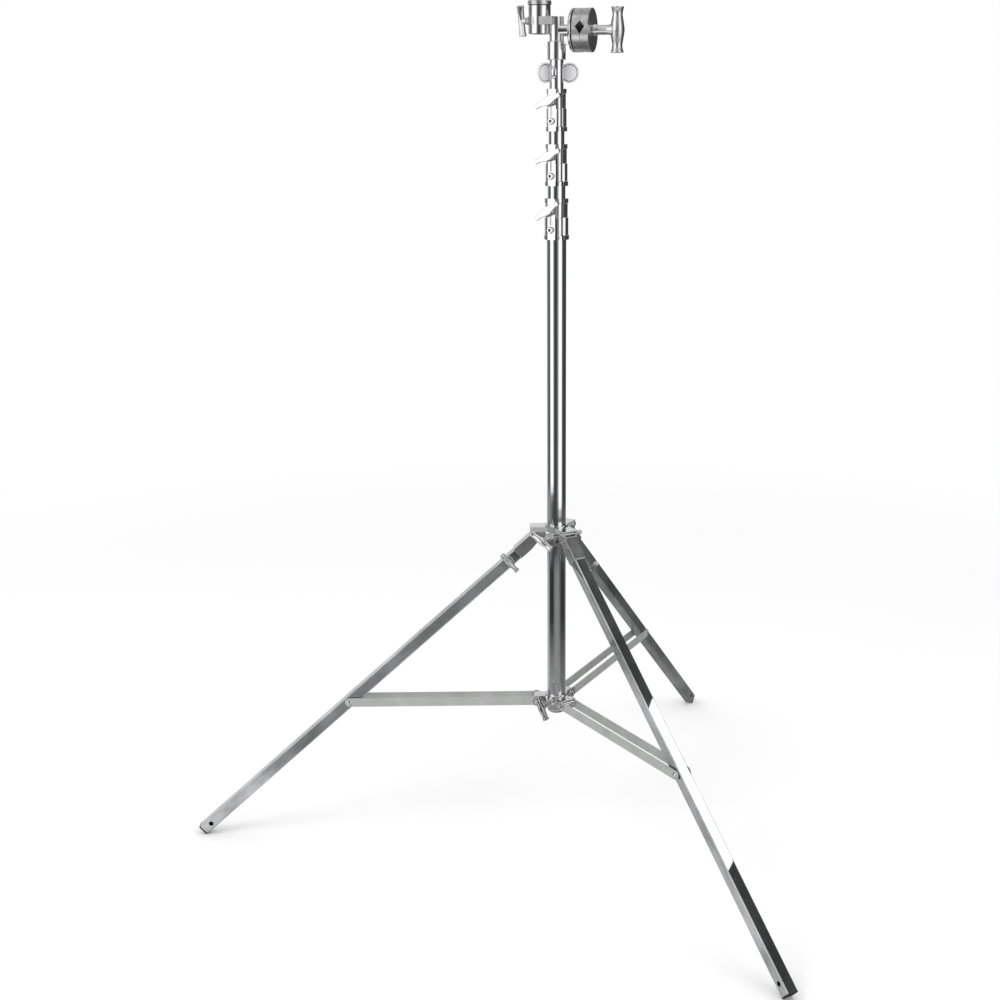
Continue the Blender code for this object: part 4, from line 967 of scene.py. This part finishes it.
class STAND_OT_legs(StandPiece, bpy.types.Operator):
    """Makes the square legs with their brackets, side bolts and foot plugs"""

    bl_idname = "stand.legs"
    bl_label = "Legs"

    def make(self, mast, legs, head, colours):
        half = legs.leg_size / 2
        drop = legs.pin_rise + half
        for name in LEGS:
            place = on_hinge(name, legs)
            plug = frame["nodes"][f"foot_plug_{name}"].data.vertices
            end = max((place.inverted() @ Vector(vertex.co)).x for vertex in plug)
            self.tube(mast, legs, name, place, half, drop, end)
            self.bracket(legs, name, place, half)
            self.foot(legs, name, place, half, drop, end)
            self.bolt(mast, legs, name)
            dress(f"leg_pivot_{name}", "plain zinc")

    def tube(self, mast, legs, name, place, half, drop, end):
        top, bolt_on_leg, stop = 0.040, 0.1066, end - 0.004 - GAP
        wall = legs.leg_wall
        outer = block((top, -half, -drop - half), (stop, half, half - drop), "X", legs.leg_corner, 6)
        low = (top - 0.01, wall - half, wall - drop - half)
        cuts = [block(low, (stop + 0.01, half - wall, half - wall - drop), "X", 0.001, 3)]
        cuts.append(hole(legs.bolt_radius, -0.03, 0.03, "Y", placed((legs.brace_on_leg, 0, -drop)), 40))
        cuts.append(moved(rod(0.0065, -0.03, 0.03, 40, "Y"), placed((end - 0.033, 0, -drop))))
        cuts.append(hole(mast.shank, 0.005, 0.03, "Y", placed((bolt_on_leg, 0, -drop))))
        piece(f"leg_{name}", carved(outer, cuts=cuts), "leg chrome", place, 0.0003)

    def bracket(self, legs, name, place, half):
        """A folded channel over the leg's head, with two ears that reach the hinge pin."""
        bottom = -legs.pin_rise - legs.leg_size
        inside = half + GAP
        outer = inside + legs.bracket_wall
        under = GAP - legs.pin_rise
        over = under + legs.bracket_wall
        ear, end = 0.0068, 0.076
        outline = arc(0, 0, ear, 180, 20, 16)
        outline += [(0.0085, over), (end, over), (end, bottom), (0.040, bottom)]
        outline += [(0, bottom + 0.0065), (-ear, -0.016)]
        cuts = [
            block((-0.02, -inside, -0.05), (0.1, inside, under)),
            block((-0.021, -inside, -0.01), (0.0078, inside, 0.02)),
            hole(legs.bolt_radius, -0.03, 0.03, "Y"),
        ]
        shape = carved(plate(outline, -outer, outer), cuts=cuts)
        piece(f"leg_bracket_{name}", shape, "plated sheet", place, 0.0007, 3)

    def foot(self, legs, name, place, half, drop, end):
        cap = block((end - 0.004, -half, -drop - half), (end, half, half - drop), "X", legs.leg_corner, 6)
        inside = half - legs.leg_wall - GAP
        low, high = (end - 0.022, -inside, -drop - inside), (end - 0.003, inside, inside - drop)
        stem = block(low, high, "X", 0.001, 3)
        piece(f"foot_plug_{name}", added(cap, stem), "black rubber", place, 0.0006)

    def bolt(self, mast, legs, name):
        """The small T-handled bolt across the leg's side."""
        across = on_hinge(name, legs)
        across.translation = joint_point(f"leg_bolt_turn_{name}")
        half = 0.031
        line = [(0.0069, -half + 0.001), (0.0068, -half + 0.006), (0.0056, -half * 0.62), (0.0072, -half * 0.2)]
        bar = turned(mirrored([(0, -half), (0.0060, -half), *flowing([*line, (0.0074, 0)])]), 36)
        screw = [(0, -0.022), (0.0042, -0.022)] + threaded(-0.0215, -0.009, mast.shank) + [(0.0044, -0.004)]
        neck = turned([(0, -0.009), (0.0072, -0.009), (0.0072, -0.004), (0.0064, 0)], 32, "X")
        shape = added(bar, turned(screw, 32, "X"), neck)
        piece(f"leg_bolt_{name}", shape, "rough casting", across @ placed(azimuth=90))


class STAND_OT_braces(StandPiece, bpy.types.Operator):
    """Makes the pairs of flat brace bars with their rivet heads"""

    bl_idname = "stand.braces"
    bl_label = "Braces"

    def make(self, mast, legs, head, colours):
        inner, outer = brace_faces(legs)
        rivet, base = 0.0072, outer + 0.0012
        dome = [(0, outer - 0.0005), (rivet, outer - 0.0005), (rivet, base)]
        dome += [(rivet * math.cos(a), base + 0.0030 * math.sin(a)) for a in (0.35, 0.75, 1.15)]
        dome += [(0, outer + 0.0042)]
        for name in LEGS:
            far = on_hinge(name, legs) @ Vector((legs.brace_on_leg, 0, -legs.pin_rise - legs.leg_size / 2))
            start = joint_point(f"brace_hinge_{name}")
            run = far - start
            place = placed(start, leg_azimuth(name), -math.degrees(math.atan2(run.z, run.xy.length)))

            def in_rivet(point, length=run.length):
                return math.hypot(point.x - length, point.z) < rivet + 0.0002 and abs(point.y) > outer + 0.0001

            for tilt, label in ((180, "a"), (0, "b")):
                bar = plate(capsule(0, run.length, legs.brace_height / 2, steps=24), inner, outer)
                bar = carved(bar, cuts=[hole(legs.bolt_radius, -0.03, 0.03, "Y")])
                head_of_rivet = moved(turned(dome, 40, "Y"), placed((run.length, 0, 0)))
                shape = moved(added(bar, head_of_rivet), placed(tilt=tilt))
                others = [("plated casting", in_rivet)]
                piece(f"brace_{name}_{label}", shape, "satin zinc", place, 0.0005, others=others)


class STAND_OT_head(StandPiece, bpy.types.Operator):
    """Makes the head casting with its receiver socket and clamp handle"""

    bl_idname = "stand.head"
    bl_label = "Head"

    def make(self, mast, legs, head, colours):
        low = span("head_casting", "z")[0]
        sleeve_top = joint_point("head_swivel").z
        liner_low, liner_high = span("receiver_liner", "z")
        offset = -(node_middle("receiver_liner") - MAST).x
        bottom, top = liner_low - 0.001, liner_high - 0.0012
        arm_low, arm_high = 2.1715, 2.191
        middle = (arm_low + arm_high) / 2
        grip = joint_point("jaw_rotation").z
        post, sleeve, shell = 0.0175, 0.023, 0.0275
        stop = span("grip_back_plate", "x")[0] - MAST.x - GAP
        outline = [(sleeve - 0.001, low), (sleeve, low + 0.001), (sleeve, sleeve_top - 0.002)]
        outline += [(post, sleeve_top), (post, arm_high - 0.001), (post - 0.001, arm_high)]
        casting = turned(outline, 96)
        groove, bead = shell - 0.0010, shell + 0.0018
        receiver = [(shell - 0.001, bottom), (shell, bottom + 0.001), (shell, top - 0.0125)]
        receiver += [(groove, top - 0.0122), (groove, top - 0.0104), (bead, top - 0.0100)]
        receiver += [(bead, top - 0.001), (bead - 0.001, top)]
        at_eye = placed((-offset, 0, 0))
        at_grip = placed((0, 0, grip))
        screw = placed((-offset, 0, middle), 180)
        gusset = [(0.008, 2.150), (0.0165, 2.149), (sleeve + 0.0012, 2.124), (0.008, 2.118)]
        joins = [
            block((0.002, -0.0095, sleeve_top - 0.006), (post + 0.0012, 0.0095, arm_high - 0.0006)),
            self.arm(offset, shell + 0.0014, 0.0268, arm_low, arm_high - GAP),
            moved(turned(receiver, 96), at_eye),
            moved(rod(0.0155, 0.005, stop, 64, "X"), at_grip),
            self.rib(grip, 0.0325, stop),
            plate(gusset, -0.0045, 0.0045),
            moved(boss(0.0092, 0.020, 0.0335), screw),
        ]
        top_radius = mast.base_od / 2 - mast.riser_step * 1.5
        cuts = [
            rod(top_radius + GAP, low - 0.01, sleeve_top - 0.0035, 96),
            moved(rod(head.bore + head.liner + GAP, bottom - 0.01, top + 0.01, 96), at_eye),
            hole(mast.shank, 0.010, 0.05, at=screw),
            moved(rod(0.0083, 0.0187, 0.06, 40, "X"), at_grip),
        ]

        # The groove under the receiver's bead gets the dark recess finish, as painted shade
        def in_groove(point):
            across = (point - at_eye.translation).xy.length
            return top - 0.0123 < point.z < top - 0.0103 and across < shell - 0.0005

        def is_rough(point):
            across = (point - at_eye.translation).xy.length
            outside = across > shell + 0.0002 and point.xy.length > post + 0.0004
            if arm_low - 0.0002 < point.z < arm_high and outside:
                return point.x < post
            return point.z > top - 0.0098 and across > shell + 0.001

        others = [("shaded recess", in_groove), ("rough casting", is_rough)]
        piece("head_casting", carved(casting, joins, cuts), "plated casting", on_mast(), 0.0005, others=others)
        self.liner(mast, head, liner_low, liner_high, middle, offset)
        tip, half, radii, facet = head.bore + 0.0005, 0.037, RECEIVER_BAR_RADII, (0, 0, -0.0058)
        handle("receiver_handle", "receiver_screw", tip, half, radii, RECEIVER_TILT, facet, offset)

    def rib(self, middle, half, stop):
        """The upright rib from the post to the back plate, slimmer at its root and thicker at the plate."""
        outline = [(0.006, -half), (0.030, -half), (stop, -0.026), (stop, 0.026), (0.030, half), (0.006, half)]
        rib = plate([(x, middle + z) for x, z in outline], -0.0062, 0.0062)
        for point in rib.verts:
            point.co.y *= 0.86 if point.co.x < 0.02 else 1.2 if point.co.x > 0.035 else 0.98
        return rib

    def arm(self, offset, eye, half, low, high):
        """The arm seen from above: round behind the receiver, and flat along its front and back to the post."""
        lean = 180 - math.degrees(math.asin(half / eye))
        front = [(-0.004, -half - 0.0004), (0.001, -0.0160)]
        outline = arc(-offset, 0, eye, lean, 360 - lean, 56) + front + [(x, -y) for x, y in reversed(front)]
        return upright(outline, low, high)

    def liner(self, mast, head, low, high, middle, offset):
        bore = head.bore
        outer = bore + head.liner
        outline = [(bore, low), (outer, low), (outer, high - 0.0004), (outer - 0.0004, high)]
        outline += [(bore + 0.001, high), (bore, high - 0.001)]
        cut = hole(mast.shank, 0.008, 0.05, at=placed((0, 0, middle), 180))
        place = placed(MAST + Vector((-offset, 0, 0)))
        piece("receiver_liner", carved(turned(outline, 96, ring=True), cuts=[cut]), "plated casting", place)


class STAND_OT_grip(StandPiece, bpy.types.Operator):
    """Makes the grip head: plate, friction disc, V-grooved jaws, washer and T-handle"""

    bl_idname = "stand.grip"
    bl_label = "Grip Head"

    def make(self, mast, legs, head, colours):
        radius, fine = head.grip_radius, 0.0002
        place = on_mast(joint_point("jaw_rotation").z)
        for node, outer, edge, kind, steps in (
            ("grip_back_plate", radius, 0.0022, "plated casting", 3),
            ("friction_disc", radius - 0.0004, 0.0003, "black rubber", 2),
            ("grip_washer", 0.0135, 0.0010, "plated casting", 2),
        ):
            piece(node, self.disc(node, outer, edge), kind, place, fine, steps)
        for node in ("inner_jaw", "outer_jaw"):
            grooves = [self.groove(head, 1), self.groove(head, -1)]
            piece(node, carved(self.disc(node, radius, fine), cuts=grooves), "machined steel", place, fine)
        dress("grip_stud", "plain steel")
        self.handle()

    def disc(self, node, radius, edge, bore=0.0083):
        low, high = (at - MAST.x for at in span(node, "x"))
        outline = [(bore, low), (radius - edge, low), (radius, low + edge)]
        outline += [(radius, high - edge), (radius - edge, high), (bore, high)]
        return turned(outline, 128, "X", ring=True)

    def groove(self, head, side):
        """The cutter of one V groove, a square bar that crosses the jaws on one side of the stud."""
        slope = head.groove_slope
        rim = Vector((0, -math.sqrt(head.grip_radius**2 - head.groove_exit**2), head.groove_exit))
        run = Vector((0, math.cos(slope), -math.sin(slope)))
        middle = (rim - run * rim.dot(run)) * side
        parting = span("outer_jaw", "x")[0] - MAST.x - GAP / 2
        width = head.groove_half * math.sqrt(2) / 2
        turn = Matrix.Rotation(-slope, 4, "X") @ Matrix.Rotation(math.pi / 4, 4, "Y")
        bar = block((-width, -0.08, -width), (width, 0.08, width))
        return moved(bar, Matrix.Translation((parting, middle.y, middle.z)) @ turn)

    def handle(self):
        """The T-handle: a flared bar across a waisted shank that screws on to the stud."""
        point = joint_point("grip_screw")
        start = span("grip_handle", "x")[0] - point.x
        half = node_size("grip_handle").z / 2
        line = [(0.0157, -half + 0.0022), (0.0132, -half + 0.012), (0.0128, -half + 0.020)]
        line += [(0.0158, -half * 0.30), (0.0180, 0)]
        rim = [(0, -half + 0.0016), (0.0112, -half + 0.0016), (0.0124, -half + 0.0004), (0.0134, -half)]
        rim += [(0.0148, -half), (0.0157, -half + 0.0010)]
        bar = turned(mirrored(rim + flowing(line)), 72)
        shank = [(0.0140, start), (0.0120, start + 0.007), (0.0118, -0.030), (0.0122, -0.022)]
        shank = flowing([*shank, (0.0140, -0.012), (0.0146, -0.004)])
        neck = turned([(0.0083, start), *shank, (0.0083, -0.004)], 64, "X", ring=True)
        piece("grip_handle", added(bar, neck), "turned plating", placed(point))


class STAND_OT_ears(StandPiece, bpy.types.Operator):
    """Makes the dished ears and the rounded button on the top riser"""

    bl_idname = "stand.ears"
    bl_label = "Ears"

    def make(self, mast, legs, head, colours):
        top_radius = mast.base_od / 2 - mast.riser_step * 1.5
        height = node_middle("riser_button").z
        yaw, splay, apex, shift, reach = 25.9, 25.0, 0.0232, 0.004, 0.034
        rim, half = head.ear_radius, 0.0015
        bead, recess = rim - 0.0041, rim - 0.0055
        low = (shift - 0.011, top_radius + 0.0012, -0.009)
        strap = block(low, (shift + 0.011, apex + 0.0028, 0.009), "Y", 0.0015)
        dish = [(0, -half), (rim - 0.0056, -half), (rim - 0.0054, -half + 0.0008)]
        dish += [(rim - 0.0040, -half + 0.0008), *arc(rim - 0.0020, -half + 0.0004, 0.0020, -180, 0, 12)]
        joins, dishes = [], []
        for side in (-1, 1):
            lean = math.radians(splay)
            along = Vector((side * math.cos(lean), -math.sin(lean), 0))
            at = placed(Vector((shift, apex, 0)) + along * reach, -side * splay)
            dishes.append(at.inverted())
            joins.append(moved(turned(mirrored(dish), 72, "Y"), at))
            inner, outer = sorted((-side * 0.034, -side * 0.0232))
            joins.append(moved(block((inner, -half + 0.0002, -0.008), (outer, half - 0.0002, 0.008)), at))
        shape = carved(strap, joins, [rod(top_radius + 2 * GAP, -0.04, 0.04, 96)])

        def within(inner, outer):
            def test(point):
                across = min((into @ point).xz.length for into in dishes)
                return inner <= across < outer and abs(point.x - shift) > 0.0115

            return test

        # The groove inside each ear's rim gets the dark recess finish, as painted shade
        # The rim bead gets the lifted rim colour, a painted highlight
        zones = (("satin ear", 0, recess), ("shaded recess", recess, bead), ("ear rim", bead, 1))
        others = [(kind, within(inner, outer)) for kind, inner, outer in zones]
        shape = added(shape, rod(0.004, 0.0125, apex, 32, "Y"))
        piece("tie_off_ears", shape, "tube chrome", on_mast(height, yaw), 0.0003, others=others)
        self.button(top_radius + GAP, height)

    def button(self, face, height):
        low, high = span("riser_button", "z")
        azimuth = 263.0
        shape = bmesh.new()
        sizes = Matrix.Diagonal((0.0055, 0.0078, (high - low) / 2, 1))
        bmesh.ops.create_uvsphere(
            shape, u_segments=48, v_segments=32, radius=1, matrix=Matrix.Translation((face, 0, 0)) @ sizes
        )
        shape = carved(shape, cuts=[rod(face, -0.04, 0.04, 96)])
        stem = rod(0.004, 0.0125, face + 0.002, 32, "X")
        piece("riser_button", added(shape, stem), "tube chrome", on_mast(height, azimuth))


class STAND_OT_stage(StandPiece, bpy.types.Operator):
    """Makes the pale floor, the soft studio light and the camera"""

    bl_idname = "stand.stage"
    bl_label = "Stage"

    camera_yaw = 15.43
    camera_azimuth = 270 + camera_yaw
    camera_down = 14.60
    camera_distance = 3.74614
    camera_height = 1.97973

    def make(self, mast, legs, head, colours):
        bpy.context.scene.view_settings.view_transform = "Standard"
        self.camera()
        self.floor(colours)
        self.lamps()
        self.studio()

    def camera(self):
        lens = bpy.data.cameras.new("camera")
        lens.sensor_width = 36.0
        lens.lens = 52.2
        lens.shift_x = -0.0565
        lens.shift_y = -0.0172
        camera = bpy.data.objects.new("camera", lens)
        yaw, pitch = math.radians(self.camera_yaw), math.radians(self.camera_down)
        back = Matrix.Rotation(yaw, 3, "Z") @ Vector((0, -self.camera_distance, 0))
        camera.location = MAST + back + Vector((0, 0, self.camera_height))
        camera.rotation_euler = (math.pi / 2 - pitch, 0, yaw)
        bpy.context.scene.collection.objects.link(camera)
        bpy.context.scene.camera = camera

    def floor(self, colours):
        """A matt floor that fades into the white background away from the stand."""
        shape = bmesh.new()
        bmesh.ops.create_circle(shape, cap_ends=True, segments=96, radius=60.0)
        mesh = bpy.data.meshes.new("floor")
        shape.to_mesh(mesh)
        shape.free()
        floor = bpy.data.objects.new("floor", mesh)
        floor.location.z = -0.0005
        bpy.context.scene.collection.objects.link(floor)
        made = bpy.data.materials.new("studio floor")
        made.use_nodes = True
        nodes = Nodes(made.node_tree)
        shader = nodes.surface((*colours.floor, 1.0), 0.9)
        shader.inputs["Specular IOR Level"].default_value = 0.0
        x, y, _ = nodes.parts(nodes.new("ShaderNodeTexCoord").outputs["Object"])
        glow = nodes.new("ShaderNodeEmission")
        glow.inputs["Strength"].default_value = 1.0
        away = nodes.between(nodes.length(x, y), 2.2, 4.5, smooth=True)
        fade = nodes.filled(nodes.new("ShaderNodeMixShader"), away, shader.outputs[0], glow.outputs[0])
        nodes.set(made.node_tree.nodes["Material Output"].inputs[0], fade)
        mesh.materials.append(made)
        floor.visible_glossy = False

    def lamps(self):
        for name, place, size, power in (
            ("key lamp", (-2.5, -3.0, 4.5), 2.5, 60.0),
            ("fill lamp", (3.0, -1.5, 3.5), 2.5, 25.0),
        ):
            light = bpy.data.lights.new(name, "AREA")
            light.size = size
            light.energy = power
            lamp = bpy.data.objects.new(name, light)
            lamp.location = place
            lamp.rotation_euler = (Vector((0, 0, 1.0)) - Vector(place)).to_track_quat("-Z", "Y").to_euler()
            lamp.visible_glossy = False
            bpy.context.scene.collection.objects.link(lamp)

    def studio(self):
        """A white room for the eye. The metal sees a dim one, with two tall soft boxes and lit walls."""
        world = bpy.data.worlds.new("studio")
        bpy.context.scene.world = world
        world.use_nodes = True
        nodes = Nodes(world.node_tree)
        toward = nodes.new("ShaderNodeMapping", vector_type="POINT")
        toward.inputs["Rotation"].default_value[2] = -math.radians(self.camera_azimuth)
        x, y, z = nodes.parts(nodes.filled(toward, nodes.new("ShaderNodeTexCoord").outputs["Generated"]))
        turn = nodes.between(nodes.math("ARCTAN2", y, x), -math.pi, math.pi)
        rise = nodes.math("MULTIPLY", nodes.math("ARCSINE", z), 180 / math.pi)

        def round_room(stops):
            return nodes.ramp(turn, [((azimuth + 180) / 360, level / BOX_LEVEL) for azimuth, level in stops])

        def band(level, start, end, beyond):
            return nodes.blend(nodes.between(rise, start, end), level, beyond)

        beside = [(at / 90, level / BOX_LEVEL) for at, level in BESIDE_LAMP]
        around = nodes.ramp(nodes.between(rise, 0, 90), beside)
        low, high = LAMP_EDGES
        edges = (
            nodes.between(rise, low - LAMP_BLUR, low + LAMP_BLUR),
            nodes.between(rise, high + LAMP_BLUR, high - LAMP_BLUR),
        )
        lamp = nodes.blend(nodes.math("MULTIPLY", *edges), around, (LAMP_LEVEL / BOX_LEVEL,) * 3)
        over_front_leg = nodes.math("MULTIPLY", *(nodes.between(turn, *side) for side in LAMP_SIDES))
        level = band(round_room(WALLS), *UPPER_WALLS_EDGE, round_room(UPPER_WALLS))
        level = band(level, *CEILING_EDGE, nodes.blend(over_front_leg, round_room(CEILING), lamp))
        left_box_ends_higher = nodes.between(turn, 0.49, 0.51, 0.8, 0.0)
        foot = nodes.math("SUBTRACT", rise, left_box_ends_higher)
        level = nodes.blend(nodes.between(foot, *BOX_FOOT), level, round_room(BOX_SHADOW))
        strips = ((SKIRTING_EDGE, SKIRTING), (FLOOR_EDGE, FLOOR_ROUND), (NEAR_FLOOR_EDGE, NEAR_FLOOR))
        for edge, stops in strips:
            level = band(level, *edge, round_room(stops))
        level = band(level, *UNDERFOOT_EDGE, (UNDERFOOT / BOX_LEVEL,) * 3)
        seen = nodes.new("ShaderNodeLightPath")
        shiny = nodes.math("MULTIPLY", level, BOX_LEVEL)
        strength = nodes.blend(seen.outputs["Is Glossy Ray"], (0.95, 0.95, 0.95), shiny)
        strength = nodes.blend(seen.outputs["Is Camera Ray"], strength, (1.0, 1.0, 1.0))
        nodes.filled(world.node_tree.nodes["Background"], strength, 1.0)


class STAND_PT_panel(bpy.types.Panel):
    """Lists the stand's sizes, finishes and pieces"""

    bl_idname = "STAND_PT_panel"
    bl_label = "Overhead Stand"
    bl_space_type = "VIEW_3D"
    bl_region_type = "UI"
    bl_category = "Stand"

    def draw(self, context):
        for group in settings():
            box = self.layout.box()
            for name in group.__annotations__:
                box.prop(group, name)
        for operator in OPERATORS:
            self.layout.operator(operator.bl_idname)


GROUPS = {
    "stand_mast": StandMastSizes,
    "stand_legs": StandLegSizes,
    "stand_head": StandHeadSizes,
    "stand_finishes": StandFinishes,
}
OPERATORS = (
    STAND_OT_mast,
    STAND_OT_collars,
    STAND_OT_upper_hub,
    STAND_OT_lower_hub,
    STAND_OT_legs,
    STAND_OT_braces,
    STAND_OT_head,
    STAND_OT_grip,
    STAND_OT_ears,
    STAND_OT_stage,
)
CLASSES = (*GROUPS.values(), *OPERATORS, STAND_PT_panel)


def register():
    for made in CLASSES:
        bpy.utils.register_class(made)
    for name, group in GROUPS.items():
        setattr(bpy.types.Scene, name, PointerProperty(type=group))


def unregister():
    for name in GROUPS:
        delattr(bpy.types.Scene, name)
    for made in reversed(CLASSES):
        bpy.utils.unregister_class(made)


def main():
    register()
    bpy.ops.stand.mast()
    bpy.ops.stand.collars()
    bpy.ops.stand.upper_hub()
    bpy.ops.stand.lower_hub()
    bpy.ops.stand.legs()
    bpy.ops.stand.braces()
    bpy.ops.stand.head()
    bpy.ops.stand.grip()
    bpy.ops.stand.ears()
    bpy.ops.stand.stage()


if __name__ == "__main__":
    main()
